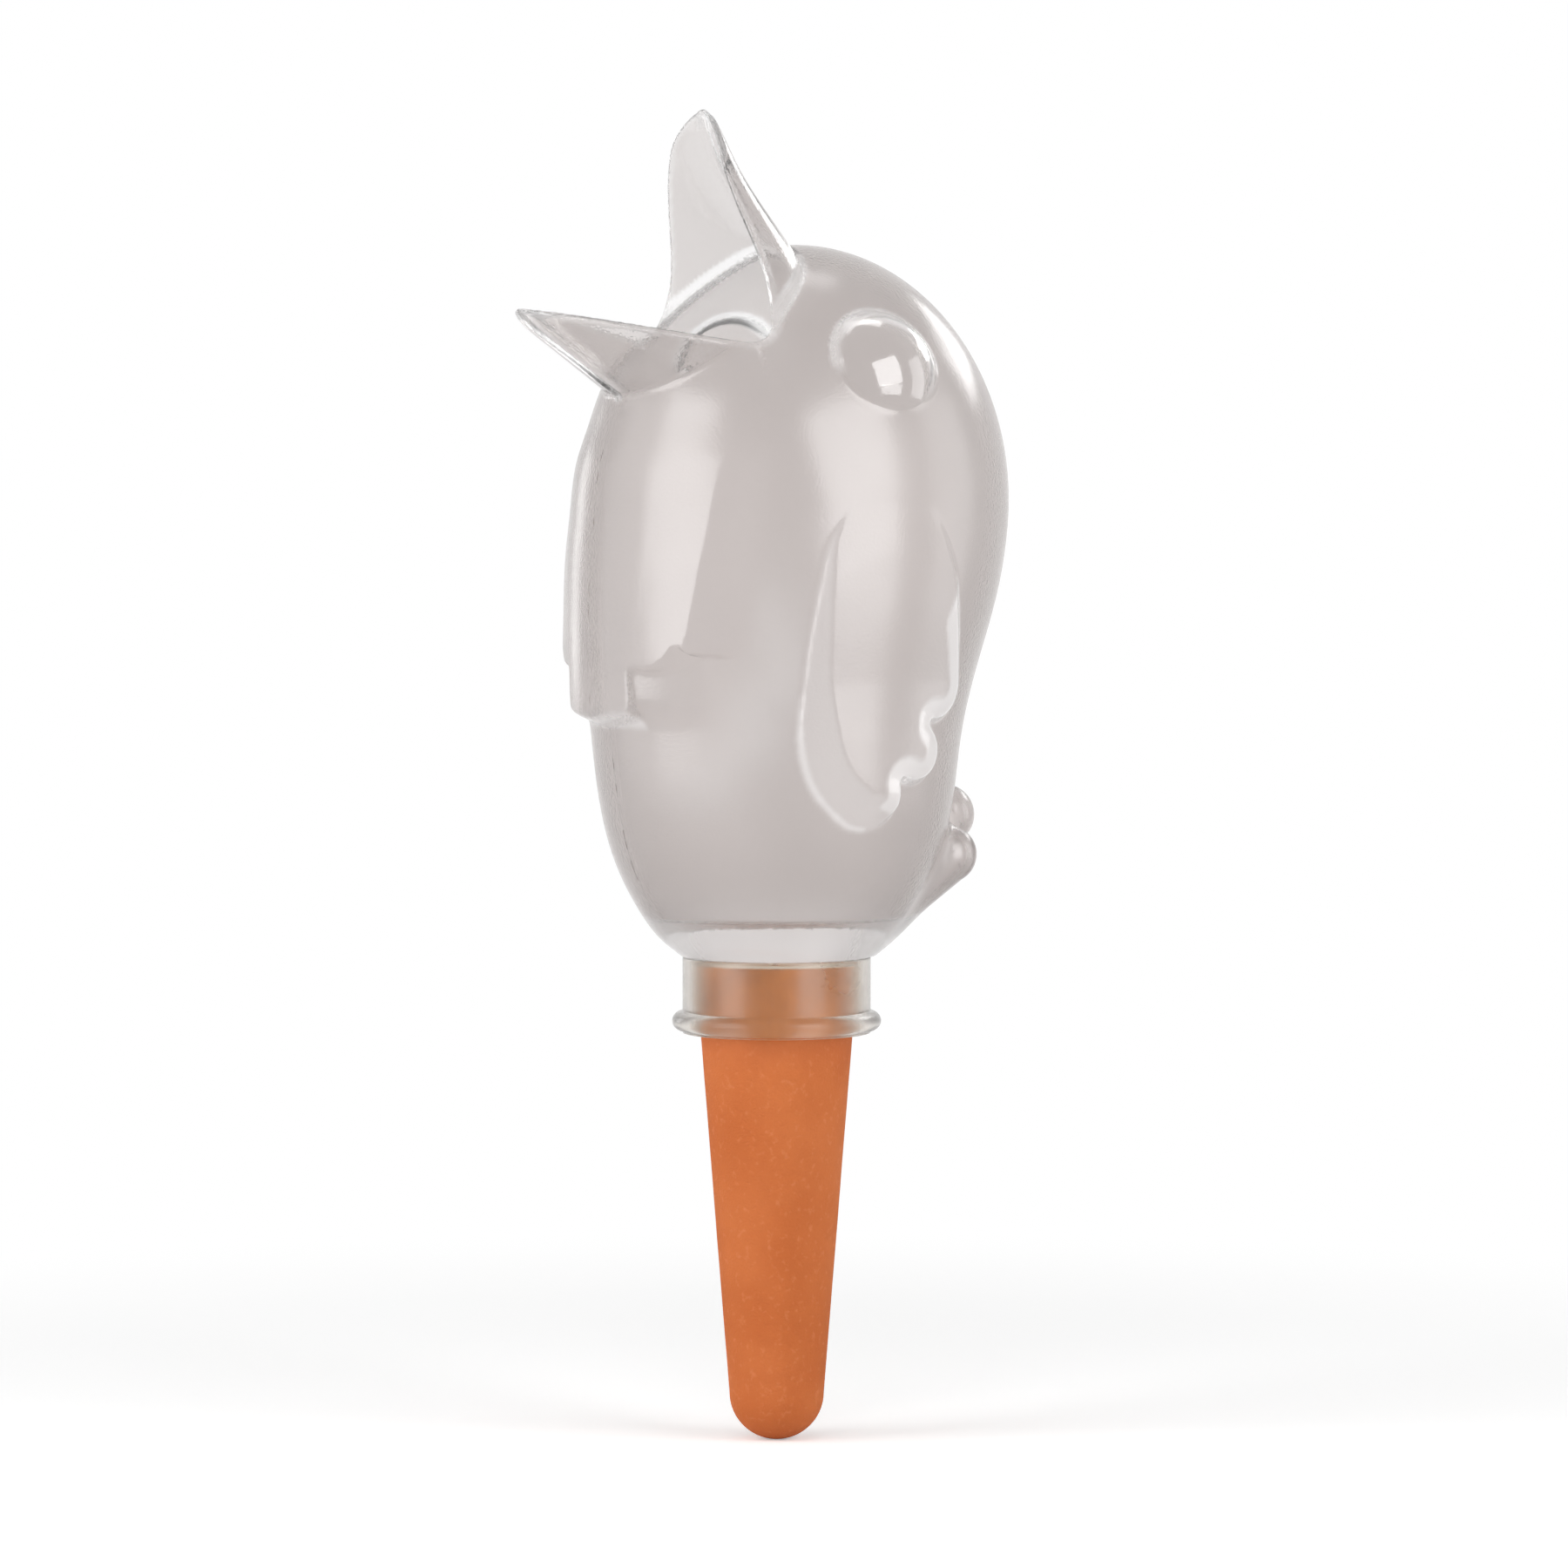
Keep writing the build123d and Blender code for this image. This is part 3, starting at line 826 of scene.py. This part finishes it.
def turned_tree():
    """Turns a profile round the Z axis and gives it an uneven skin."""
    tree, given = new_tree("Turned piece", TURNED_INPUTS)
    add, work, _ = node_tools(tree)
    profile = add("GeometryNodeObjectInfo", {"Object": given["Guide"]}).outputs["Geometry"]
    columns = work("ADD", given["Sides"], 1)
    net = {"Size X": 1, "Size Y": 1, "Vertices X": columns, "Vertices Y": given["Rows"]}
    grid = add("GeometryNodeMeshGrid", net).outputs["Mesh"]
    spot = add("ShaderNodeSeparateXYZ", {0: add("GeometryNodeInputPosition").outputs[0]}).outputs
    share = work("ADD", spot["Y"], 0.5)
    angle = work("MULTIPLY", work("ADD", spot["X"], 0.5), 2 * math.pi)
    along = {"Curves": profile, "Factor": share}
    sample = add("GeometryNodeSampleCurve", along, mode="FACTOR", use_all_curves=True)
    turn = {"Vector": sample.outputs["Position"], "Angle": angle}
    turned = add("ShaderNodeVectorRotate", turn, rotation_type="Z_AXIS").outputs[0]
    ring = add("ShaderNodeCombineXYZ", {"X": work("COSINE", angle), "Y": work("SINE", angle)}).outputs[0]
    skin = {"Vector": turned, "W": given["Seed"], "Scale": given["Skin Scale"], "Detail": 4}
    noise = add("ShaderNodeTexNoise", skin, noise_dimensions="4D").outputs["Fac"]
    swell = work("MULTIPLY", work("SUBTRACT", noise, 0.5), given["Skin Height"])
    outward = add("ShaderNodeVectorMath", {0: ring, "Scale": swell}, operation="SCALE").outputs[0]
    steps = [
        ("GeometryNodeSetPosition", {"Position": turned, "Offset": outward}),
        ("GeometryNodeMergeByDistance", {"Distance": SEAM_MERGE * MM}),
        ("GeometryNodeSetShadeSmooth", {}),
        ("GeometryNodeRealizeInstances", {}),
        ("GeometryNodeSetMaterial", {"Material": given["Material"]}),
    ]
    return ended_tree(tree, grid, steps)


def guide_curve(lines, closed=False):
    """Lines of (x, y, z) points in millimetres as one curve object in metres."""
    curve = bpy.data.curves.new("guide", "CURVE")
    curve.dimensions = "3D"
    for line in lines:
        spline = curve.splines.new("POLY")
        spline.points.add(len(line) - 1)
        for point, place in zip(spline.points, line):
            point.co = (*(Vector(place) * MM), 1)
        spline.use_cyclic_u = closed
    return new_object("guide", curve)


def grown(name, tree, guide, **sizes):
    """What a tree makes along a guide, as a plain mesh with its faces outwards. The guide goes."""
    holder = new_object(name + "_holder", bpy.data.meshes.new(name))
    modifier = holder.modifiers.new("grown", "NODES")
    modifier.node_group = tree
    values = {"Guide": guide, **sizes}
    for item in tree.interface.items_tree:
        if item.in_out == "INPUT" and item.name in values:
            modifier[item.identifier] = values[item.name]
    depsgraph = bpy.context.evaluated_depsgraph_get()
    mesh = bpy.data.meshes.new_from_object(holder.evaluated_get(depsgraph))
    mesh.name = name
    for helper in (holder, guide):
        bpy.data.objects.remove(helper)
    made = bmesh.new()
    made.from_mesh(mesh)
    bmesh.ops.recalc_face_normals(made, faces=made.faces[:])
    made.to_mesh(mesh)
    made.free()
    return new_object(name, mesh)


def make_turned(name, tree, points, closed, rows, material, **sizes):
    """A turned piece from its profile of (radius, height) points."""
    guide = guide_curve([[(radius, 0, height) for radius, height in points]], closed)
    return grown(name, tree, guide, Sides=SIDES, Rows=rows, Material=material, **sizes)


# Flash along the mould's joint on the chest: heights from and to, and the size of its dashes
FLASH_RUNS = [(101.0, 57.0), (50.0, 27.0)]
FLASH_COUNT = 13
FLASH_LENGTH = 2.2
FLASH_WIDTH = 0.16
FLASH_RISE = 0.22
FLASH_KEPT = 0.6
FLASH_SHORTEST = 0.4
FLASH_LONGEST = 1.3
FLASH_INPUTS = {
    "Guide": "Object",
    "Count": "Int",
    "Dash Length": "Float",
    "Dash Width": "Float",
    "Dash Rise": "Float",
    "Share Kept": "Float",
    "Shortest": "Float",
    "Longest": "Float",
    "Seed": "Int",
    "Material": "Material",
}


def chest_line(from_height, to_height):
    """Points down the front of the bird on its midplane."""
    heights = np.linspace(from_height, to_height, 60)
    fronts = np.arange(-60.0, 0.0, 0.05)
    line = []
    for height in heights:
        outside = bird_forms(np.zeros_like(fronts), fronts, np.full_like(fronts, height))[0]
        line.append((0.0, fronts[np.argmax(outside < 0)], height))
    return line


def flash_tree():
    """Uneven raised dashes along a guide, some of them missing."""
    tree, given = new_tree("Parting flash", FLASH_INPUTS)
    add, work, _ = node_tools(tree)
    guide = add("GeometryNodeObjectInfo", {"Object": given["Guide"]}).outputs["Geometry"]
    along = add("GeometryNodeCurveToPoints", {"Curve": guide, "Count": given["Count"]}).outputs
    dash = add("GeometryNodeMeshIcoSphere", {"Subdivisions": 3, "Radius": 0.5}).outputs["Mesh"]
    chance = {"Probability": given["Share Kept"], "Seed": given["Seed"]}
    kept = add("FunctionNodeRandomValue", chance, data_type="BOOLEAN").outputs[3]
    limits = {2: given["Shortest"], 3: given["Longest"], "Seed": given["Seed"]}
    uneven = add("FunctionNodeRandomValue", limits).outputs[1]
    length = work("MULTIPLY", uneven, given["Dash Length"])
    sides = {"X": given["Dash Rise"], "Y": given["Dash Width"], "Z": length}
    size = add("ShaderNodeCombineXYZ", sides).outputs[0]
    places = {"Points": along["Points"], "Rotation": along["Rotation"], "Selection": kept}
    placed = add("GeometryNodeInstanceOnPoints", {**places, "Instance": dash, "Scale": size})
    steps = [
        ("GeometryNodeRealizeInstances", {}),
        ("GeometryNodeSetShadeSmooth", {}),
        ("GeometryNodeSetMaterial", {"Material": given["Material"]}),
    ]
    return ended_tree(tree, placed.outputs["Instances"], steps)


def make_flash(material):
    """The broken line of flash down the chest, on the joint of the two halves."""
    guide = guide_curve([chest_line(*run) for run in FLASH_RUNS])
    sizes = {"Dash Length": FLASH_LENGTH * MM, "Dash Width": FLASH_WIDTH * MM, "Dash Rise": FLASH_RISE * MM}
    spread = {"Count": FLASH_COUNT, "Share Kept": FLASH_KEPT, "Seed": 3}
    limits = {"Shortest": FLASH_SHORTEST, "Longest": FLASH_LONGEST}
    return grown("parting_flash", flash_tree(), guide, Material=material, **sizes, **spread, **limits)


def round_corner(before, corner, after, radius, steps=8):
    """A profile's corner rounded to that radius."""
    point = Vector(corner)
    to_before = (Vector(before) - point).normalized()
    to_after = (Vector(after) - point).normalized()
    half = to_before.angle(to_after) / 2
    start = point + to_before * (radius / math.tan(half))
    end = point + to_after * (radius / math.tan(half))
    centre = point + (to_before + to_after).normalized() * (radius / math.sin(half))
    arc = []
    for i in range(steps + 1):
        mixed = start.lerp(end, i / steps) - centre
        arc.append(tuple(centre + mixed.normalized() * radius))
    return arc


def rounded_profile(corners, closed):
    """A profile from (radius, height, corner round) rows."""
    points = []
    count = len(corners)
    for i, (radius, height, roundness) in enumerate(corners):
        inner = closed or 0 < i < count - 1
        if roundness and inner:
            before = corners[i - 1][:2]
            after = corners[(i + 1) % count][:2]
            points += round_corner(before, (radius, height), after, roundness)
        else:
            points.append((radius, height))
    return points


# Clay spike
SPIKE_WALL = 4.0
SPIKE_TIP_WALL = 6.8
SPIKE_SOIL_RADIUS = 12.85
SPIKE_TIP_RADIUS = 8.0
SPIKE_STEP = 0.6
SPIKE_HEAD_ROUND = 1.8
SPIKE_BORE_ROUND = 0.6

# Collar and its bead
COLLAR_RADIUS = 15.9
COLLAR_BORE = 14.4
BEAD_HEIGHT = 3.7
BEAD_LOW = 0.4

# Soft sleeve
SLEEVE_HOLE = 10.5
SLEEVE_CAP = 1.0
SLEEVE_BORE = 13.35
LIP_SHORT = 1.2


def spike_profile():
    """The clay from the tip up its outside, over its head and down its bore."""
    head = SPIKE_HIGH.x
    top = SPIKE_HIGH.z
    tip = SPIKE_LOW.z
    bore_end = SPIKE_TIP_RADIUS - SPIKE_WALL
    floor = tip + SPIKE_TIP_WALL + bore_end
    outside = [(SPIKE_TIP_RADIUS * math.sin(a), tip + SPIKE_TIP_RADIUS * (1 - math.cos(a)))
               for a in np.linspace(0, math.pi / 2, 24)]
    corners = [
        (*outside[-1], 0),
        (SPIKE_SOIL_RADIUS, 0, 0),
        (head, SPIKE_STEP, 0),
        (head, top, SPIKE_HEAD_ROUND),
        (head - SPIKE_WALL, top, SPIKE_BORE_ROUND),
        (SPIKE_SOIL_RADIUS - SPIKE_WALL, 0, 0),
        (bore_end, floor, 0),
    ]
    inside = [(bore_end * math.cos(a), floor - bore_end * math.sin(a))
              for a in np.linspace(0, math.pi / 2, 12)]
    return outside[:-1] + rounded_profile(corners, False) + inside[1:]


def collar_profile():
    """The collar's wall with the round bead at its low end."""
    top = NECK - FACE_GAP
    middle = (BEAD_HEIGHT + BEAD_LOW) / 2
    half = (BEAD_HEIGHT - BEAD_LOW) / 2
    bead = COLLAR_HIGH.x - COLLAR_RADIUS
    lobe = [(COLLAR_RADIUS + bead * math.cos(a), middle + half * math.sin(a))
            for a in np.linspace(-0.5 * math.pi, 0.5 * math.pi, 24)]
    corners = [
        (*lobe[-1], 0),
        (COLLAR_RADIUS, top, 0.25),
        (COLLAR_BORE, top, 0.25),
        (COLLAR_BORE, COLLAR_LOW.z, 0.3),
        (COLLAR_RADIUS, COLLAR_LOW.z, 0.2),
        (*lobe[0], 0),
    ]
    return lobe[1:-1] + rounded_profile(corners, False)


def sleeve_profile():
    """The soft sleeve with its cap over the clay's rim."""
    top = SLEEVE_HIGH.z - FACE_GAP
    under = SLEEVE_HIGH.z - SLEEVE_CAP
    corners = [
        (SLEEVE_BORE, SLEEVE_LOW.z + LIP_SHORT, 0.35),
        (SLEEVE_HIGH.x, SLEEVE_LOW.z + LIP_SHORT, 0.35),
        (SLEEVE_HIGH.x, top, 0.4),
        (SLEEVE_HOLE, top, 0.3),
        (SLEEVE_HOLE, under, 0.2),
        (SLEEVE_BORE, under, 0.2),
    ]
    return rounded_profile(corners, True)


# Clear plastics
PLASTIC_IOR = 1.33
COAT_ROUGH = 0.05
INSIDE_ROUGH = 0.5
GRAIN_SCALE = 2000
HAZE_SCALE = 90
HAZE_SWING = 0.15

# Terracotta: its colours, the zone under the collar that darkens towards the soil line, and the wet head, by
# height in metres
CLAY_DEEP = (0.54, 0.138, 0.036)
CLAY_WARM = (0.62, 0.176, 0.052)
CLAY_SAND = (0.70, 0.24, 0.10)
CLAY_TOP_DARK = (0.45, 0.115, 0.04)
CLAY_WET_DARK = (0.44, 0.165, 0.052)
CLAY_WET_PALE = (0.66, 0.25, 0.068)
TOP_DARK_HEIGHTS = (-0.006, 0.0)
WET_HEIGHTS = (0.0002, 0.0008)
SAND_HEIGHT = 0.12


def new_material(name):
    """A material, its Principled shader and the tools that add nodes to it."""
    material = bpy.data.materials.new(name)
    material.use_nodes = True
    return material, material.node_tree.nodes["Principled BSDF"], node_tools(material.node_tree)


def moulded_skin():
    """Shader group: the fine grain and the slow haze of a moulded plastic skin."""
    group = bpy.data.node_groups.new("Moulded skin", "ShaderNodeTree")
    for title in ("Grain Scale", "Haze Scale"):
        group.interface.new_socket(title, in_out="INPUT", socket_type="NodeSocketFloat")
    for title in ("Grain", "Haze"):
        group.interface.new_socket(title, in_out="OUTPUT", socket_type="NodeSocketFloat")
    add, _, _ = node_tools(group)
    given = add("NodeGroupInput").outputs
    spot = add("ShaderNodeTexCoord").outputs["Object"]
    shown = {}
    for title, detail in (("Grain", 2.0), ("Haze", 3.0)):
        inputs = {"Vector": spot, "Scale": given[title + " Scale"], "Detail": detail}
        shown[title] = add("ShaderNodeTexNoise", inputs).outputs["Fac"]
    add("NodeGroupOutput", shown)
    return group


def clear_finish(
    name, skin, tint, rough, grain_height, shadow_tint, shine=1.0, clear_and_highlight_tint=(1, 1, 1), polished_rough=0.0
):
    """A clear plastic: tinted glass with grain, polished and clearer where the piece's points say so. The
    clearer tint also carries painted light and painted highlights.
    """
    material, shader, (add, work, ranged) = new_material(name)

    def marked(title):
        return add("ShaderNodeAttribute", attribute_name=title).outputs["Fac"]

    def mixed(factor, a, b, kind="FLOAT"):
        return add("ShaderNodeMix", {"Factor": factor, "A": a, "B": b}, data_type=kind).outputs["Result"]

    scales = {"Grain Scale": GRAIN_SCALE, "Haze Scale": HAZE_SCALE}
    grain = add("ShaderNodeGroup", scales, node_tree=skin).outputs
    hazy = ranged(grain["Haze"], 0.3, 0.7, rough * (1 - HAZE_SWING), rough * (1 + HAZE_SWING))
    polished = mixed(marked("polish"), hazy, polished_rough)
    bump = {"Strength": 0.5, "Distance": grain_height * MM, "Height": grain["Grain"]}
    thinned = work("MAXIMUM", marked("edge"), marked("weld"))
    finish = {
        "Transmission Weight": 1.0,
        "IOR": PLASTIC_IOR,
        "Specular Tint": (shine, shine, shine, 1),
        "Coat Roughness": COAT_ROUGH,
        # Clearer where the points say so: the inner faces, and the painted light and highlights
        "Base Color": mixed(marked("clear"), (*tint, 1), (*clear_and_highlight_tint, 1), "RGBA"),
        "Roughness": mixed(marked("haze"), polished, INSIDE_ROUGH),
        "Coat Weight": marked("gloss"),
        "Alpha": work("SUBTRACT", 1.0, thinned),
        "Normal": add("ShaderNodeBump", bump).outputs["Normal"],
    }
    fill_sockets(material.node_tree, shader, finish)
    lit_through = add("ShaderNodeBsdfTransparent", {"Color": (*shadow_tint, 1)})
    in_shadow = add("ShaderNodeLightPath").outputs["Is Shadow Ray"]
    end_in_mix(material.node_tree, "Material Output", in_shadow, shader, lit_through)
    return material


def clay_finish(name):
    """Unglazed terracotta: soft blotches and fine sand, darker and redder towards the soil line and wet in
    the collar.
    """
    material, shader, (add, _, ranged) = new_material(name)
    spot = add("ShaderNodeTexCoord").outputs["Object"]
    height = add("ShaderNodeSeparateXYZ", {0: spot}).outputs["Z"]

    def noise(scale, detail):
        return add("ShaderNodeTexNoise", {"Vector": spot, "Scale": scale, "Detail": detail}).outputs["Fac"]

    def blend(factor, a, b):
        ends = [(*value, 1) if isinstance(value, tuple) else value for value in (a, b)]
        inputs = {"Factor": factor, "A": ends[0], "B": ends[1]}
        return add("ShaderNodeMix", inputs, data_type="RGBA").outputs["Result"]

    colour = blend(ranged(noise(55, 4), 0.35, 0.65), CLAY_DEEP, CLAY_WARM)
    colour = blend(ranged(noise(900, 2), 0.58, 0.75, 0, 0.35), colour, CLAY_SAND)
    # Darker towards the soil line, under the collar
    colour = blend(ranged(height, *TOP_DARK_HEIGHTS, 0, 0.45), colour, CLAY_TOP_DARK)
    wet = blend(ranged(noise(140, 5), 0.32, 0.68), CLAY_WET_DARK, CLAY_WET_PALE)
    sand = ranged(noise(2600, 3), 0.35, 0.7)
    bump = {"Strength": 0.6, "Distance": SAND_HEIGHT * MM, "Height": sand}
    finish = {
        "Roughness": 0.9,
        "Specular IOR Level": 0.2,
        "Base Color": blend(ranged(height, *WET_HEIGHTS), colour, wet),
        "Normal": add("ShaderNodeBump", bump).outputs["Normal"],
    }
    fill_sockets(material.node_tree, shader, finish)
    return material


# Camera, and lamps as turn from the camera and rise in degrees, distance, width and height in metres, roll in
# degrees, radiance, and whether the lamp shows in gloss or lights matt faces
CAMERA_AZIMUTH = 60.0
CAMERA_RISE = 3.0
CAMERA_DISTANCE = 1.3
FRAME_WIDTH = 0.2647
FRAME_CENTRE_RIGHT = 0.00125
FRAME_CENTRE_UP = 0.04206
LAMPS = [
    ("lamp_left", -56, 8, 0.60, 0.38, 0.70, 0, 4.3, True),
    ("lamp_side", -92, 8, 0.60, 0.30, 0.60, 0, 1.0, True),
    ("lamp_rim", -138, 4, 0.70, 0.16, 0.22, 0, 2.2, True),
    ("lamp_right", 39, 19, 0.60, 0.44, 0.42, 10, 4.5, True),
    ("lamp_low", 44, -14, 0.60, 0.36, 0.32, 0, 3.4, True),
    ("lamp_flank", 94, 0, 0.60, 0.30, 0.66, 0, 1.7, True),
    ("lamp_top", 180, 72, 0.70, 0.40, 0.16, 0, 2.5, True),
    ("lamp_back", 140, 24, 0.70, 0.30, 0.16, 0, 5.0, True),
    ("wash_left", -65, 8, 0.75, 0.48, 0.88, 0, 3.9, False),
    ("wash_right", 55, 18, 0.75, 0.56, 0.52, 0, 3.6, False),
    ("wash_front", -10, 35, 0.90, 0.60, 0.60, 0, 1.6, False),
]
LAMP_CENTRE = Vector((0, 0, 0.07))
WHITE = (1, 1, 1, 1)
WORLD_LIGHT = 0.25

# Floor that the object stands on: it fades to white between these distances
STAGE_SIZE = 3.0
STAGE_NEAR = 0.10
STAGE_FAR = 0.32
STAGE_PALE = (0.9, 0.9, 0.9)
STAGE_LIFT = 0.36


def around(azimuth, rise):
    """Unit direction from the object: azimuth 0 in front of the bird, growing to its left side."""
    a = math.radians(azimuth)
    e = math.radians(rise)
    return Vector((math.sin(a) * math.cos(e), -math.cos(a) * math.cos(e), math.sin(e)))


def make_camera():
    camera = bpy.data.cameras.new("camera")
    camera.sensor_width = 36
    camera.lens = camera.sensor_width * CAMERA_DISTANCE / FRAME_WIDTH
    view = new_object("camera", camera)
    a = math.radians(CAMERA_AZIMUTH)
    right = Vector((math.cos(a), math.sin(a), 0))
    back = around(CAMERA_AZIMUTH, CAMERA_RISE)
    target = right * FRAME_CENTRE_RIGHT + Vector((0, 0, FRAME_CENTRE_UP))
    view.location = target + back * CAMERA_DISTANCE
    view.rotation_mode = "QUATERNION"
    view.rotation_quaternion = (-back).to_track_quat("-Z", "Y")
    bpy.context.scene.camera = view


def add_lamp(name, location, facing, roll, width, tall, radiance, in_gloss):
    """A rectangular soft lamp. It shows in glossy surfaces, or else lights matt ones."""
    lamp = bpy.data.lights.new(name, "AREA")
    lamp.shape = "RECTANGLE"
    lamp.size = width
    lamp.size_y = tall
    lamp.energy = radiance * math.pi * width * tall
    holder = new_object(name, lamp)
    holder.location = location
    holder.rotation_mode = "QUATERNION"
    turn = facing.to_track_quat("-Z", "Y")
    holder.rotation_quaternion = turn @ Quaternion((0, 0, 1), math.radians(roll))
    holder.visible_camera = False
    holder.visible_transmission = False
    holder.visible_diffuse = not in_gloss
    holder.visible_glossy = in_gloss


def make_lamps():
    for name, turn, rise, distance, width, tall, roll, radiance, in_gloss in LAMPS:
        out = around(CAMERA_AZIMUTH + turn, rise)
        add_lamp(name, LAMP_CENTRE + out * distance, -out, roll, width, tall, radiance, in_gloss)


def seen_directly(add, work):
    """1 for camera, mirror and glass rays, else 0."""
    path = add("ShaderNodeLightPath").outputs
    mirrored = work("MAXIMUM", path["Is Camera Ray"], path["Is Glossy Ray"])
    return work("MAXIMUM", mirrored, path["Is Transmission Ray"])


def make_world():
    world = bpy.data.worlds.new("studio")
    bpy.context.scene.world = world
    world.use_nodes = True
    tree = world.node_tree
    add, work, _ = node_tools(tree)
    soft = tree.nodes["Background"]
    fill_sockets(tree, soft, {"Color": WHITE, "Strength": WORLD_LIGHT})
    white = add("ShaderNodeBackground", {"Color": WHITE, "Strength": 1.0})
    end_in_mix(tree, "World Output", seen_directly(add, work), soft, white)


def make_floor():
    """A pale floor under the tip: it takes the shadow near the object and is plain white further off."""
    mesh = bpy.data.meshes.new("floor")
    level = SPIKE_LOW.z * MM
    corners = [(-1, -1), (1, -1), (1, 1), (-1, 1)]
    mesh.from_pydata([(x * STAGE_SIZE, y * STAGE_SIZE, level) for x, y in corners], [], [(0, 1, 2, 3)])
    floor = new_object("floor", mesh)
    material, shader, (add, work, ranged) = new_material("pale_floor")
    to_camera = add("ShaderNodeLightPath").outputs["Is Camera Ray"]
    finish = {
        "Base Color": (*STAGE_PALE, 1),
        "Roughness": 0.9,
        "Specular IOR Level": 0.0,
        "Emission Color": WHITE,
        "Emission Strength": work("MULTIPLY", to_camera, STAGE_LIFT),
    }
    fill_sockets(material.node_tree, shader, finish)
    spot = add("ShaderNodeTexCoord").outputs["Object"]
    flat = add("ShaderNodeVectorMath", {0: spot, 1: (1, 1, 0)}, operation="MULTIPLY").outputs[0]
    away = add("ShaderNodeVectorMath", {0: flat}, operation="LENGTH").outputs["Value"]
    fade = ranged(away, STAGE_NEAR, STAGE_FAR, interpolation_type="SMOOTHSTEP")
    share = work("MULTIPLY", fade, seen_directly(add, work))
    end_in_mix(material.node_tree, "Material Output", share, shader, add("ShaderNodeEmission"))
    mesh.materials.append(material)


def place(piece, body, node, slot, material=None):
    """A finished piece: its material, the body it rides on and the node it stands for; its slot argument is
    not used.
    """
    if material is not None:
        piece.data.materials.clear()
        piece.data.materials.append(material)
    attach(piece, body)
    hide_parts(node)


def make_pieces():
    skin = moulded_skin()
    plastic = clear_finish(
        "clear_plastic", skin, tint=(0.486, 0.437, 0.420), rough=0.2, grain_height=0.06,
        shadow_tint=(0.9, 0.89, 0.89), shine=2.4, clear_and_highlight_tint=(0.99, 0.985, 0.985), polished_rough=0.03,
    )
    collar_plastic = clear_finish(
        "milky_collar", skin, tint=(0.88, 0.84, 0.79), rough=0.22, grain_height=0.02,
        shadow_tint=(0.95, 0.94, 0.94), shine=0.9,
    )
    seal_plastic = clear_finish(
        "soft_seal", skin, tint=(0.92, 0.89, 0.80), rough=0.30, grain_height=0.03,
        shadow_tint=(0.95, 0.94, 0.94),
    )
    clay = clay_finish("terracotta")

    half = mesh_arrays(half_mesh())
    for name, side in (("left_half_shell", 1), ("right_half_shell", -1)):
        place(make_shell(name + "_clear", half, side), "reservoir", name, "clear_plastic", plastic)

    flash = make_flash(plastic)
    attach(flash, "reservoir")

    tree = turned_tree()
    collar = make_turned(
        "neck_collar_clear", tree, collar_profile(), True, 240, collar_plastic,
        **{"Skin Height": 0.04 * MM, "Skin Scale": 120.0, "Seed": 1.0},
    )
    place(collar, "reservoir", "neck_collar", "clear_collar")
    sleeve = make_turned("seal_sleeve_soft", tree, sleeve_profile(), True, 240, seal_plastic)
    place(sleeve, "seal", "seal_sleeve", "soft_seal")
    spike = make_turned(
        "clay_spike_fired", tree, spike_profile(), False, 300, clay,
        **{"Skin Height": 0.16 * MM, "Skin Scale": 90.0, "Seed": 7.0},
    )
    place(spike, "spike", "clay_spike", "terracotta")


bpy.context.scene.view_settings.view_transform = "Standard"
make_camera()
make_world()
make_lamps()
make_floor()
make_pieces()
